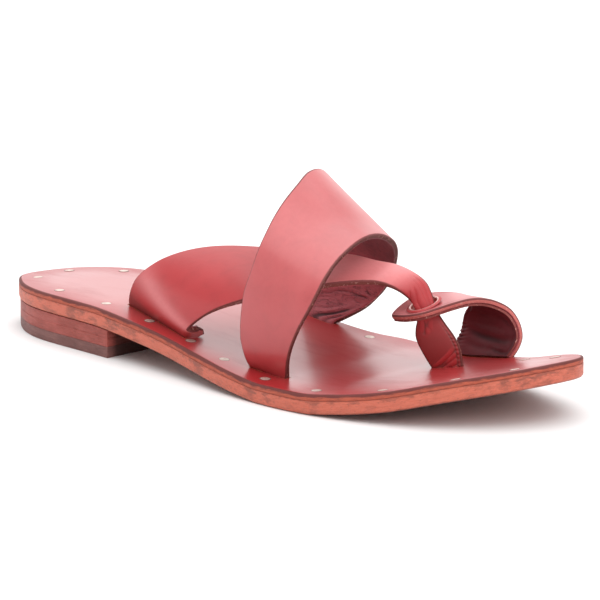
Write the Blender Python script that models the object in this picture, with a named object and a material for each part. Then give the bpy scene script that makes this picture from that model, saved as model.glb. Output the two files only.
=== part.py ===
"""Leather slide sandal for the right foot: low stacked heel, two crossing straps and a toe loop.

Metres, +Z up, +X towards the toe, +Y towards the inner side of the foot. The origin is at the
middle of the heel's flat bottom, on the floor. Straps are lofted from short tables, one row for
each section, whose numbers are shares of the named sizes below.
"""
import math

import bmesh
import bpy
from mathutils import Vector

# Sole sizes
LENGTH = 0.255
BALL_WIDTH = 0.089
HEEL_LENGTH = 0.072
HEEL_HEIGHT = 0.0108
TOE_SPRING = 0.0150
OUTSOLE_THICKNESS = 0.0048
INSOLE_THICKNESS = 0.0019
TOP_LIFT_THICKNESS = 0.0040
HEEL_INSET = 0.0005
RIM_BEVEL = 0.0008
EDGE_BREAK = 0.0002

# Strap sizes
STRAP_THICKNESS = 0.0022
LOOP_THICKNESS = 0.0028
INSTEP_RISE = 0.0650
CROSS_RISE = 0.0320
LOOP_RISE = 0.0230

# Small parts
GROMMET_BORE = 0.0094
GROMMET_RIM = 0.0128
GROMMET_WALL = 0.0004
GROMMET_FLANGE = 0.0006
NAIL_HEAD = 0.0039
NAIL_PROUD = 0.0002

# Clearance between pieces that fit together, and how far a cutter runs past what it cuts
FIT = 0.0003
OVERRUN = 0.0010

# Plan of the sole, from the heel's back round the outer side to the toe's tip and back along the
# inner side: share of LENGTH from the heel, share of BALL_WIDTH (outer side negative)
SOLE_PLAN = (
    (0.000, -0.040),
    (0.030, -0.176),
    (0.110, -0.303),
    (0.250, -0.355),
    (0.420, -0.409),
    (0.570, -0.490),
    (0.700, -0.509),
    (0.810, -0.445),
    (0.900, -0.322),
    (0.970, -0.129),
    (1.000, 0.089),
    (0.973, 0.235),
    (0.920, 0.340),
    (0.830, 0.417),
    (0.720, 0.491),
    (0.600, 0.458),
    (0.530, 0.395),
    (0.400, 0.362),
    (0.270, 0.318),
    (0.120, 0.300),
    (0.030, 0.182),
)

# Underside of the sole: share of LENGTH, share of HEEL_HEIGHT, share of TOE_SPRING
SOLE_RUN = (
    (0.00, 0.90, 0.00),
    (0.12, 1.00, 0.00),
    (0.24, 0.98, 0.00),
    (0.36, 0.75, 0.00),
    (0.48, 0.38, 0.00),
    (0.58, 0.10, 0.00),
    (0.63, 0.00, 0.00),
    (0.70, 0.00, 0.00),
    (0.76, 0.00, 0.10),
    (0.82, 0.00, 0.26),
    (0.90, 0.00, 0.60),
    (1.00, 0.00, 1.00),
)

# Sections of each strap, outside to inside of the foot. Each edge has x, a share of LENGTH;
# y, a share of BALL_WIDTH; and h, the height over the insole as a share of the strap's rise.
# wall is a share of the strap's thickness, crown its bow as a share of the section's width, and
# round is 1 where the section is gathered to an oval.
INSTEP_STRAP = (
    # rear x, y, h, front x, y, h, wall, crown, round
    (0.564, -0.352, 0.000, 0.630, -0.348, 0.000, 1.0, 0.00, 0),
    (0.566, -0.385, 0.060, 0.643, -0.380, 0.108, 1.0, 0.01, 0),
    (0.563, -0.400, 0.163, 0.657, -0.397, 0.208, 1.0, 0.02, 0),
    (0.565, -0.404, 0.282, 0.673, -0.404, 0.312, 1.0, 0.03, 0),
    (0.569, -0.400, 0.415, 0.689, -0.399, 0.412, 1.0, 0.03, 0),
    (0.576, -0.388, 0.518, 0.699, -0.378, 0.506, 1.0, 0.03, 0),
    (0.580, -0.360, 0.631, 0.700, -0.335, 0.580, 1.0, 0.03, 0),
    (0.579, -0.315, 0.715, 0.693, -0.265, 0.632, 1.0, 0.03, 0),
    (0.574, -0.255, 0.790, 0.684, -0.180, 0.668, 1.0, 0.02, 0),
    (0.569, -0.190, 0.855, 0.674, -0.090, 0.692, 1.0, 0.01, 0),
    (0.565, -0.110, 0.924, 0.663, 0.000, 0.697, 1.0, 0.00, 0),
    (0.557, -0.030, 0.968, 0.648, 0.100, 0.679, 1.0, 0.00, 0),
    (0.543, 0.070, 0.955, 0.634, 0.190, 0.639, 1.0, 0.00, 0),
    (0.521, 0.180, 0.882, 0.618, 0.280, 0.576, 1.0, 0.00, 0),
    (0.496, 0.275, 0.755, 0.602, 0.345, 0.495, 1.0, 0.01, 0),
    (0.471, 0.345, 0.588, 0.583, 0.388, 0.390, 1.0, 0.02, 0),
    (0.450, 0.378, 0.405, 0.562, 0.412, 0.275, 1.0, 0.03, 0),
    (0.435, 0.380, 0.235, 0.543, 0.416, 0.190, 1.0, 0.02, 0),
    (0.420, 0.365, 0.100, 0.522, 0.400, 0.108, 1.0, 0.01, 0),
    (0.408, 0.328, 0.000, 0.486, 0.334, 0.000, 1.0, 0.00, 0),
)
CROSS_STRAP = (
    # rear x, y, h, front x, y, h, wall, crown, round
    (0.274, -0.204, 0.000, 0.429, -0.322, 0.000, 1.0, 0.00, 0),
    (0.283, -0.228, 0.090, 0.436, -0.339, 0.088, 1.0, 0.01, 0),
    (0.295, -0.250, 0.215, 0.448, -0.358, 0.175, 1.0, 0.02, 0),
    (0.311, -0.267, 0.372, 0.465, -0.372, 0.278, 1.0, 0.03, 0),
    (0.330, -0.268, 0.510, 0.484, -0.382, 0.385, 1.0, 0.04, 0),
    (0.351, -0.244, 0.645, 0.505, -0.389, 0.490, 1.0, 0.04, 0),
    (0.373, -0.196, 0.750, 0.527, -0.391, 0.588, 1.0, 0.04, 0),
    (0.399, -0.136, 0.835, 0.551, -0.389, 0.680, 1.0, 0.04, 0),
    (0.432, -0.078, 0.900, 0.577, -0.380, 0.764, 1.0, 0.04, 0),
    (0.480, -0.024, 0.965, 0.604, -0.348, 0.838, 1.0, 0.03, 0),
    (0.528, 0.022, 1.035, 0.627, -0.270, 0.900, 1.0, 0.03, 0),
    (0.572, 0.062, 1.070, 0.645, -0.176, 0.938, 1.0, 0.03, 0),
    (0.608, 0.100, 1.090, 0.661, -0.095, 0.955, 1.0, 0.03, 0),
    (0.637, 0.135, 1.060, 0.675, -0.045, 0.956, 1.0, 0.03, 0),
    (0.662, 0.162, 1.040, 0.684, -0.006, 0.943, 1.0, 0.04, 0.2),
    (0.687, 0.177, 0.985, 0.694, 0.038, 0.893, 1.1, 0.05, 0.6),
    (0.711, 0.178, 0.900, 0.703, 0.080, 0.800, 1.4, 0.05, 1),
    (0.728, 0.168, 0.740, 0.710, 0.108, 0.690, 1.6, 0.05, 1),
    (0.740, 0.162, 0.590, 0.716, 0.112, 0.550, 1.6, 0.03, 1),
    (0.751, 0.165, 0.475, 0.714, 0.112, 0.435, 1.4, 0.03, 0.9),
    (0.763, 0.173, 0.350, 0.715, 0.113, 0.325, 1.3, 0.03, 0.8),
    (0.772, 0.182, 0.205, 0.724, 0.124, 0.170, 1.2, 0.02, 0.6),
    (0.775, 0.191, 0.000, 0.733, 0.149, 0.000, 1.2, 0.00, 0.5),
)
TOE_LOOP = (
    # rear x, y, h, front x, y, h, wall, crown, round
    (0.671, 0.127, 0.728, 0.676, 0.097, 0.715, 1.0, 0.00, 0),
    (0.672, 0.163, 0.818, 0.692, 0.074, 0.745, 1.0, 0.00, 0),
    (0.679, 0.197, 0.918, 0.716, 0.063, 0.786, 1.0, 0.00, 0),
    (0.692, 0.222, 0.992, 0.741, 0.071, 0.828, 1.0, 0.00, 0),
    (0.705, 0.245, 1.025, 0.754, 0.112, 0.874, 1.0, 0.00, 0),
    (0.714, 0.292, 1.007, 0.761, 0.185, 0.914, 1.0, 0.01, 0),
    (0.720, 0.343, 0.957, 0.764, 0.258, 0.928, 1.0, 0.02, 0),
    (0.721, 0.388, 0.870, 0.767, 0.326, 0.900, 1.0, 0.03, 0),
    (0.713, 0.419, 0.775, 0.774, 0.382, 0.826, 1.0, 0.03, 0),
    (0.701, 0.438, 0.655, 0.786, 0.421, 0.695, 1.0, 0.03, 0),
    (0.695, 0.448, 0.495, 0.796, 0.436, 0.510, 1.0, 0.03, 0),
    (0.692, 0.447, 0.330, 0.801, 0.438, 0.310, 1.0, 0.02, 0),
    (0.687, 0.438, 0.165, 0.798, 0.429, 0.145, 1.0, 0.01, 0),
    (0.684, 0.427, 0.000, 0.791, 0.412, 0.000, 1.0, 0.00, 0),
)

# Where the thong goes through the loop: the loop's section, and the share of its width
GROMMET_SECTION = 3.15
GROMMET_SHARE = 0.57

# The nail line's distance from the sole's edge, as a share of BALL_WIDTH, and the nails along it,
# as shares of its length from heel to toe
NAIL_LINE = 0.079
OUTER_NAILS = (0.016, 0.120, 0.236, 0.340, 0.439, 0.525, 0.621, 0.722, 0.826, 0.918, 0.975)
INNER_NAILS = (0.012, 0.084, 0.185, 0.285, 0.375, 0.560, 0.655, 0.863, 0.942)

# Share of a nail head's width that is left at its top, and share of the wall that a gathered
# strap keeps at its edges
NAIL_TAPER = 0.92
THIN_EDGE = 0.2

# How finely the curves are cut. Sections of the sole crowd towards its ends by END_CROWDING, and
# a layer stops TIP_MARGIN short of the plan's tips, where its section would have no width.
TIP_MARGIN = 0.0001
END_CROWDING = 0.6
OUTLINE_STEPS = 6
SOLE_STATIONS = 44
STEPS_PER_ROW = 2
STRAP_COLUMNS = 6
ROUND_SIDES = 24
NAIL_SIDES = 12

REAR, FRONT, WALL, CROWN, ROUND = slice(0, 3), slice(3, 6), 6, 7, 8


def station(share):
    """Distance along the sole, from the origin under the heel's middle."""
    return share * LENGTH - HEEL_LENGTH / 2


def catmull(before, start, end, after, t):
    """Smooth value between start and end, for numbers or rows of numbers."""
    return tuple(
        0.5 * (2 * b + (c - a) * t + (2 * a - 5 * b + 4 * c - d) * t ** 2
               + (3 * b - a - 3 * c + d) * t ** 3)
        for a, b, c, d in zip(before, start, end, after)
    )


def smooth_rows(rows, steps):
    """Rows of a table with steps - 1 more between each two, on a smooth curve."""
    padded = [rows[0], *rows, rows[-1]]
    result = []
    for i in range(len(rows) - 1):
        for step in range(steps):
            result.append(catmull(*padded[i:i + 4], step / steps))
    result.append(tuple(float(value) for value in rows[-1]))
    return result


def outline():
    """Closed plan of the sole as points, from the heel's back round the outer side."""
    corners = [(station(x), y * BALL_WIDTH) for x, y in SOLE_PLAN]
    count = len(corners)
    points = []
    for i in range(count):
        four = [corners[(i + k) % count] for k in (-1, 0, 1, 2)]
        for step in range(OUTLINE_STEPS):
            points.append(Vector(catmull(*four, step / OUTLINE_STEPS)))
    return points


def inset_outline(distance):
    """The plan moved inwards by a distance."""
    points = outline()
    moved = []
    for i, point in enumerate(points):
        along = (points[(i + 1) % len(points)] - points[i - 1]).normalized()
        moved.append(point + Vector((-along.y, along.x)) * distance)
    return moved


def edge_y(points, x, inner):
    """Side edge of a plan at x: the inner side's or the outer side's."""
    hits = []
    for i, end in enumerate(points):
        start = points[i - 1]
        if min(start.x, end.x) <= x < max(start.x, end.x):
            hits.append(start.y + (end.y - start.y) * (x - start.x) / (end.x - start.x))
    return max(hits) if inner else min(hits)


def underside(x):
    """Height of the outsole's bottom at x, on a curve that doesn't overshoot its table."""
    rows = [(station(share), heel * HEEL_HEIGHT + toe * TOE_SPRING) for share, heel, toe in SOLE_RUN]
    x = min(max(x, rows[0][0]), rows[-1][0])
    slopes = [(b[1] - a[1]) / (b[0] - a[0]) for a, b in zip(rows, rows[1:])]
    tangents = [slopes[0]]
    for left, right in zip(slopes, slopes[1:]):
        tangents.append(0.0 if left * right <= 0 else 2 * left * right / (left + right))
    tangents.append(slopes[-1])
    for i in range(len(slopes)):
        if x <= rows[i + 1][0]:
            break
    width = rows[i + 1][0] - rows[i][0]
    t = (x - rows[i][0]) / width
    rise = rows[i + 1][1] - rows[i][1]
    bend = (tangents[i] + tangents[i + 1]) * width - 2 * rise
    lead = 3 * rise - (2 * tangents[i] + tangents[i + 1]) * width
    return rows[i][1] + tangents[i] * width * t + lead * t ** 2 + bend * t ** 3


def outsole_top(x):
    return underside(x) + OUTSOLE_THICKNESS


def insole_bottom(x):
    return outsole_top(x) + FIT


def insole_top(x):
    return insole_bottom(x) + INSOLE_THICKNESS


def loft(rings, closed_ends=True):
    """A closed body through rings with the same number of points."""
    mesh = bmesh.new()
    rows = [[mesh.verts.new(point) for point in ring] for ring in rings]
    count = len(rows[0])
    for near, far in zip(rows, rows[1:]):
        for k in range(count):
            mesh.faces.new((near[k - 1], near[k], far[k], far[k - 1]))
    if closed_ends:
        mesh.faces.new(rows[0])
        mesh.faces.new(rows[-1])
    bmesh.ops.recalc_face_normals(mesh, faces=mesh.faces)
    return mesh


def sole_slab(bottom, top, inset, start, end, bevel):
    """A layer of the sole between two heights, from start to end along the foot."""
    plan = inset_outline(inset)
    low = min(point.x for point in plan)
    high = max(point.x for point in plan)
    first = max(low + TIP_MARGIN, start)
    last = min(high - TIP_MARGIN, end)
    rings = []
    for k in range(SOLE_STATIONS + 1):
        even = k / SOLE_STATIONS
        crowded = (1 - math.cos(math.pi * even)) / 2
        x = first + (last - first) * (even + END_CROWDING * (crowded - even))
        outer = edge_y(plan, x, False)
        inner = edge_y(plan, x, True)
        cut = min(bevel, (inner - outer) / 4)
        rings.append([
            (x, outer, top(x)),
            (x, outer, bottom(x) + bevel),
            (x, outer + cut, bottom(x)),
            (x, inner - cut, bottom(x)),
            (x, inner, bottom(x) + bevel),
            (x, inner, top(x)),
        ])
    return loft(rings)


def strap_sections(table, rise, thickness, widen=0.0, deepen=0.0):
    """Rows of points across a strap's middle surface, with each row's walls, from a table.

    Rows of height 0 are at a slot: a row at the insole's bottom is added past them.
    """
    sections = []
    for row in smooth_rows(table, STEPS_PER_ROW):
        sections.append(strap_row(row, rise, thickness, widen, 0.0))
    sink = INSOLE_THICKNESS + deepen
    if table[0][2] == 0:
        sections.insert(0, strap_row(table[0], rise, thickness, widen, sink))
    if table[-1][2] == 0:
        sections.append(strap_row(table[-1], rise, thickness, widen, sink))
    return sections


def strap_row(row, rise, thickness, widen, sink):
    """One section: points from the rear edge to the front edge, and the wall at each."""
    rear, front = Vector(row[REAR]), Vector(row[FRONT])
    spread = Vector(((front.x - rear.x) * LENGTH, (front.y - rear.y) * BALL_WIDTH))
    extra = widen / spread.length
    points, walls = [], []
    for k in range(STRAP_COLUMNS + 1):
        across = k / STRAP_COLUMNS
        if row[ROUND] > 0:
            across = across * (1 - row[ROUND]) + row[ROUND] * (1 - math.cos(math.pi * across)) / 2
        place = rear.lerp(front, -extra + across * (1 + 2 * extra))
        x = station(place.x)
        height = insole_top(x) + place.z * rise - sink
        points.append(Vector((x, place.y * BALL_WIDTH, height)))
        oval = math.sqrt(max(0.0, 1 - (2 * across - 1) ** 2))
        share = (1 - row[ROUND]) + row[ROUND] * max(oval, THIN_EDGE)
        walls.append(row[WALL] * thickness * share)
    bow = row[CROWN] * (points[-1] - points[0]).length
    return points, walls, bow


def surface_normals(grid):
    """Unit normal at each point of a grid of points."""
    normals = []
    last_row, last_column = len(grid) - 1, len(grid[0]) - 1
    for i, row in enumerate(grid):
        line = []
        for k in range(len(row)):
            along = grid[min(i + 1, last_row)][k] - grid[max(i - 1, 0)][k]
            across = row[min(k + 1, last_column)] - row[max(k - 1, 0)]
            line.append(across.cross(along).normalized())
        normals.append(line)
    return normals


def strap_mesh(table, rise, thickness, widen=0.0, grow=0.0, deepen=0.0):
    """A strap as a closed loft: its middle surface, bowed, with a wall to each side."""
    sections = strap_sections(table, rise, thickness, widen, deepen)
    flat = [points for points, _, _ in sections]
    outward = surface_normals(flat)
    grid = []
    for (points, _, bow), normals in zip(sections, outward):
        last = len(points) - 1
        grid.append([
            point + normal * bow * (1 - (2 * k / last - 1) ** 2)
            for k, (point, normal) in enumerate(zip(points, normals))
        ])
    normals = surface_normals(grid)
    rings = []
    for points, line, (_, walls, _) in zip(grid, normals, sections):
        halves = [normal * (wall / 2 + grow) for normal, wall in zip(line, walls)]
        upper = [point + half for point, half in zip(points, halves)]
        lower = [point - half for point, half in zip(points, halves)]
        rings.append(upper + lower[::-1])
    return loft(rings)


def strap_place(table, rise, thickness, section, share):
    """Point and outward normal on a strap's middle surface, at a section and share of width."""
    def at(number, part):
        low = min(int(number), len(table) - 2)
        padded = [table[0], *table, table[-1]]
        row = catmull(*padded[low:low + 4], number - low)
        points, _, _ = strap_row(row, rise, thickness, 0.0, 0.0)
        return points[0].lerp(points[-1], part)
    step = 0.2
    along = at(section + step, share) - at(section - step, share)
    across = at(section, share + step) - at(section, share - step)
    return at(section, share), across.cross(along).normalized()


def drum(radius_low, radius_high, length, sides):
    """A turned cylinder or cone along Z, centred on the origin."""
    mesh = bmesh.new()
    bmesh.ops.create_cone(mesh, cap_ends=True, segments=sides, radius1=radius_low,
                          radius2=radius_high, depth=length)
    return mesh


def material(name, colour, roughness, metallic=0.0):
    shader = bpy.data.materials.new(name)
    shader.use_nodes = True
    surface = shader.node_tree.nodes["Principled BSDF"]
    surface.inputs["Base Color"].default_value = (*colour, 1)
    surface.inputs["Roughness"].default_value = roughness
    surface.inputs["Metallic"].default_value = metallic
    shader.diffuse_color = (*colour, 1)
    return shader


def add_object(name, mesh, collection, shader=None):
    """An object from a bmesh, in a collection."""
    data = bpy.data.meshes.new(name)
    mesh.to_mesh(data)
    mesh.free()
    thing = bpy.data.objects.new(name, data)
    collection.objects.link(thing)
    if shader:
        data.materials.append(shader)
    else:
        thing.hide_render = True
        thing.display_type = "WIRE"
    return thing


def cut(thing, cutter, operation="DIFFERENCE"):
    """A Boolean with the exact solver, left on the object."""
    modifier = thing.modifiers.new(operation.lower() + "_" + cutter.name, "BOOLEAN")
    modifier.operation = operation
    modifier.solver = "EXACT"
    modifier.object = cutter


def turn_to(thing, point, axis):
    """Puts an object at a point with its Z along an axis."""
    thing.location = point
    thing.rotation_mode = "QUATERNION"
    thing.rotation_quaternion = axis.to_track_quat("Z", "Y")


def add_sole(parts, cutters):
    """Outsole, stacked heel, top lift and the insole with its slots."""
    raw = material("raw leather", (0.66, 0.17, 0.11), 0.55)
    stack = material("stacked leather", (0.42, 0.16, 0.13), 0.5)
    lift = material("heel lift", (0.33, 0.20, 0.18), 0.7)
    smooth = material("polished insole leather", (0.60, 0.10, 0.10), 0.3)
    toe = station(1)
    back = station(0)
    breast = station(0) + HEEL_LENGTH

    mesh = sole_slab(underside, outsole_top, 0.0, back, toe, RIM_BEVEL)
    add_object("outsole", mesh, parts, raw)

    def stack_top(x):
        return underside(x) - FIT

    def stack_bottom(x):
        return TOP_LIFT_THICKNESS + FIT

    mesh = sole_slab(stack_bottom, stack_top, HEEL_INSET, back, breast, EDGE_BREAK)
    add_object("heel_stack", mesh, parts, stack)

    mesh = sole_slab(lambda x: 0.0, lambda x: TOP_LIFT_THICKNESS, HEEL_INSET, back, breast, RIM_BEVEL)
    add_object("heel_lift", mesh, parts, lift)

    mesh = sole_slab(insole_bottom, insole_top, 0.0, back, toe, EDGE_BREAK)
    insole = add_object("insole", mesh, parts, smooth)
    straps = (
        ("instep", INSTEP_STRAP, INSTEP_RISE, STRAP_THICKNESS),
        ("cross", CROSS_STRAP, CROSS_RISE, STRAP_THICKNESS),
        ("loop", TOE_LOOP, LOOP_RISE, LOOP_THICKNESS),
    )
    for name, table, rise, thickness in straps:
        mesh = strap_mesh(table, rise, thickness, widen=FIT, grow=FIT, deepen=OVERRUN)
        cut(insole, add_object("slot_" + name, mesh, cutters))
    return insole


def add_nails(insole, parts, cutters):
    """Nail heads along both edges, each in its own hole in the insole."""
    metal = material("nail metal", (0.72, 0.55, 0.42), 0.35, 0.9)
    plan = inset_outline(NAIL_LINE * BALL_WIDTH)
    low = min(point.x for point in plan)
    high = max(point.x for point in plan)
    places = []
    for shares, inner in ((OUTER_NAILS, False), (INNER_NAILS, True)):
        for share in shares:
            x = low + (high - low) * share
            places.append((x, edge_y(plan, x, inner)))
    holes = bmesh.new()
    for number, (x, y) in enumerate(places, start=1):
        bottom = insole_bottom(x)
        top = insole_top(x) + NAIL_PROUD
        radius = NAIL_HEAD / 2
        mesh = drum(radius, radius * NAIL_TAPER, top - bottom, NAIL_SIDES)
        nail = add_object(f"nail_{number:02d}", mesh, parts, metal)
        slope = (insole_top(x + radius) - insole_top(x - radius)) / NAIL_HEAD
        turn_to(nail, Vector((x, y, (top + bottom) / 2)), Vector((-slope, 0, 1)))
        depth = INSOLE_THICKNESS + 2 * OVERRUN
        hole = drum(radius + FIT, radius + FIT, depth, NAIL_SIDES)
        bmesh.ops.translate(hole, verts=hole.verts, vec=(x, y, (top + bottom) / 2))
        scratch = bpy.data.meshes.new("hole")
        hole.to_mesh(scratch)
        hole.free()
        holes.from_mesh(scratch)
        bpy.data.meshes.remove(scratch)
    cut(insole, add_object("nail_holes", holes, cutters))


def add_upper(parts, cutters):
    """The two crossing straps, joined where the instep strap leans on the cross strap."""
    leather = material("strap leather", (0.58, 0.10, 0.10), 0.35)
    mesh = strap_mesh(CROSS_STRAP, CROSS_RISE, STRAP_THICKNESS)
    upper = add_object("upper", mesh, parts, leather)
    mesh = strap_mesh(INSTEP_STRAP, INSTEP_RISE, STRAP_THICKNESS)
    cut(upper, add_object("instep_strap", mesh, cutters), "UNION")


def add_loop(parts, cutters):
    """The loop over the big toe, and the grommet that the thong passes through."""
    leather = material("toe loop leather", (0.50, 0.10, 0.10), 0.4)
    metal = material("grommet metal", (0.80, 0.60, 0.52), 0.3, 0.9)
    mesh = strap_mesh(TOE_LOOP, LOOP_RISE, LOOP_THICKNESS)
    loop = add_object("toe_loop", mesh, parts, leather)
    centre, axis = strap_place(TOE_LOOP, LOOP_RISE, LOOP_THICKNESS, GROMMET_SECTION, GROMMET_SHARE)

    bore = GROMMET_BORE / 2
    barrel = bore + GROMMET_WALL
    depth = 2 * LOOP_THICKNESS + 2 * OVERRUN
    mesh = drum(barrel + FIT, barrel + FIT, depth, ROUND_SIDES)
    hole = add_object("grommet_hole", mesh, cutters)
    turn_to(hole, centre, axis)
    cut(loop, hole)

    seat = LOOP_THICKNESS / 2 + FIT
    profile = (
        (bore, seat + GROMMET_FLANGE),
        (bore, -seat),
        (barrel, -seat),
        (barrel, seat),
        (GROMMET_RIM / 2, seat),
        (GROMMET_RIM / 2 - GROMMET_FLANGE / 2, seat + GROMMET_FLANGE),
    )
    rings = []
    for k in range(ROUND_SIDES):
        angle = 2 * math.pi * k / ROUND_SIDES
        rings.append([(r * math.cos(angle), r * math.sin(angle), z) for r, z in profile])
    mesh = loft(rings + [rings[0]], closed_ends=False)
    bmesh.ops.remove_doubles(mesh, verts=mesh.verts, dist=0.00001)
    bmesh.ops.recalc_face_normals(mesh, faces=mesh.faces)
    grommet = add_object("grommet", mesh, parts, metal)
    turn_to(grommet, centre, axis)


def main():
    for thing in list(bpy.data.objects):
        bpy.data.objects.remove(thing)
    parts = bpy.data.collections.new("sandal")
    cutters = bpy.data.collections.new("cutters")
    for collection in (parts, cutters):
        bpy.context.scene.collection.children.link(collection)
    insole = add_sole(parts, cutters)
    add_nails(insole, parts, cutters)
    add_upper(parts, cutters)
    add_loop(parts, cutters)


main()
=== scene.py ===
"""Leather slide sandal for the right foot: its visible pieces and finishes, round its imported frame.

Metres, +Z up, +X towards the toe, +Y towards the inner side of the foot. The origin is under the
middle of the heel. Laid out as an add-on: each piece has an operator, and main calls them in order.
"""

import math

import bmesh
import bpy
import numpy as np
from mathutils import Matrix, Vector


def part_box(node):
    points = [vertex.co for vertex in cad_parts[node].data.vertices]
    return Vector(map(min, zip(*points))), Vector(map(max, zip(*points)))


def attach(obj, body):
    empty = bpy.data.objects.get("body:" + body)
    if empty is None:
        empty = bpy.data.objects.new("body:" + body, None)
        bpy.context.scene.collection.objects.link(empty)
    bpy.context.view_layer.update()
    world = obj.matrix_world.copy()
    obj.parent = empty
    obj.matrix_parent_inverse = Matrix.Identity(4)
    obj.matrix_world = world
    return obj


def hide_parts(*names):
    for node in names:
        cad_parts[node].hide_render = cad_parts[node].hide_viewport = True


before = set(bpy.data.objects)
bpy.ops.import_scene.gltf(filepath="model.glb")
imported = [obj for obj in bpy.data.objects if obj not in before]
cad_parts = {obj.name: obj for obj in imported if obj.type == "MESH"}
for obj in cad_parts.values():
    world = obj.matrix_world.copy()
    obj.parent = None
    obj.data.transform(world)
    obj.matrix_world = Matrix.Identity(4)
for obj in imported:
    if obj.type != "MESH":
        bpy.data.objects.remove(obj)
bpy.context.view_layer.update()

bl_info = {
    "name": "Leather slide sandal",
    "version": (1, 0, 0),
    "blender": (4, 5, 0),
    "location": "3D view > sidebar > Sandal",
    "description": "Builds a leather slide sandal piece by piece round its frame",
    "category": "Add Mesh",
}

# Sizes read from the frame
SOLE_LOW, SOLE_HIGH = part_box("outsole")
LIFT_LOW, LIFT_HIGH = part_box("heel_lift")
LENGTH = round(SOLE_HIGH.x - SOLE_LOW.x, 3)
BALL_WIDTH = round(SOLE_HIGH.y - SOLE_LOW.y, 3)
HEEL_LENGTH = round(2 * LIFT_HIGH.x, 3)
LIFT_THICKNESS = round(LIFT_HIGH.z - LIFT_LOW.z, 4)

# Plan of the sole, from the heel's back round the outer side to the toe's tip and back along the
# inner side: share of the length from the heel, share of the ball width (outer side negative)
SOLE_PLAN = (
    (0.000, -0.040),
    (0.030, -0.176),
    (0.110, -0.303),
    (0.250, -0.355),
    (0.420, -0.409),
    (0.570, -0.490),
    (0.700, -0.509),
    (0.810, -0.445),
    (0.900, -0.322),
    (0.970, -0.129),
    (1.000, 0.089),
    (0.973, 0.235),
    (0.920, 0.340),
    (0.830, 0.417),
    (0.720, 0.491),
    (0.600, 0.458),
    (0.530, 0.395),
    (0.400, 0.362),
    (0.270, 0.318),
    (0.120, 0.300),
    (0.030, 0.182),
)

# Underside of the sole: share of the length, share of the heel's height, share of the toe spring
SOLE_RUN = (
    (0.00, 0.90, 0.00),
    (0.12, 1.00, 0.00),
    (0.24, 0.98, 0.00),
    (0.36, 0.75, 0.00),
    (0.48, 0.38, 0.00),
    (0.58, 0.10, 0.00),
    (0.63, 0.00, 0.00),
    (0.70, 0.00, 0.00),
    (0.76, 0.00, 0.10),
    (0.82, 0.00, 0.26),
    (0.90, 0.00, 0.60),
    (1.00, 0.00, 1.00),
)

# Sections of each strap, outside to inside of the foot. Each edge has x, a share of the length;
# y, a share of the ball width; and h, the height over the insole as a share of the strap's rise.
# wall is a share of the strap's thickness, crown its bow as a share of the section's width, and
# round is 1 where the section is gathered to an oval.
INSTEP_STRAP = (
    # rear x, y, h, front x, y, h, wall, crown, round
    (0.564, -0.352, 0.000, 0.630, -0.348, 0.000, 1.0, 0.00, 0),
    (0.566, -0.385, 0.060, 0.643, -0.380, 0.108, 1.0, 0.01, 0),
    (0.563, -0.400, 0.163, 0.657, -0.397, 0.208, 1.0, 0.02, 0),
    (0.565, -0.404, 0.282, 0.673, -0.404, 0.312, 1.0, 0.03, 0),
    (0.569, -0.400, 0.415, 0.689, -0.399, 0.412, 1.0, 0.03, 0),
    (0.576, -0.388, 0.518, 0.699, -0.378, 0.506, 1.0, 0.03, 0),
    (0.580, -0.360, 0.631, 0.700, -0.335, 0.580, 1.0, 0.03, 0),
    (0.579, -0.315, 0.715, 0.693, -0.265, 0.632, 1.0, 0.03, 0),
    (0.574, -0.255, 0.790, 0.684, -0.180, 0.668, 1.0, 0.02, 0),
    (0.569, -0.190, 0.855, 0.674, -0.090, 0.692, 1.0, 0.01, 0),
    (0.565, -0.110, 0.924, 0.663, 0.000, 0.697, 1.0, 0.00, 0),
    (0.557, -0.030, 0.968, 0.648, 0.100, 0.679, 1.0, 0.00, 0),
    (0.543, 0.070, 0.955, 0.634, 0.190, 0.639, 1.0, 0.00, 0),
    (0.521, 0.180, 0.882, 0.618, 0.280, 0.576, 1.0, 0.00, 0),
    (0.496, 0.275, 0.755, 0.602, 0.345, 0.495, 1.0, 0.01, 0),
    (0.471, 0.345, 0.588, 0.583, 0.388, 0.390, 1.0, 0.02, 0),
    (0.450, 0.378, 0.405, 0.562, 0.412, 0.275, 1.0, 0.03, 0),
    (0.435, 0.380, 0.235, 0.543, 0.416, 0.190, 1.0, 0.02, 0),
    (0.420, 0.365, 0.100, 0.522, 0.400, 0.108, 1.0, 0.01, 0),
    (0.408, 0.328, 0.000, 0.486, 0.334, 0.000, 1.0, 0.00, 0),
)
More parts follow.
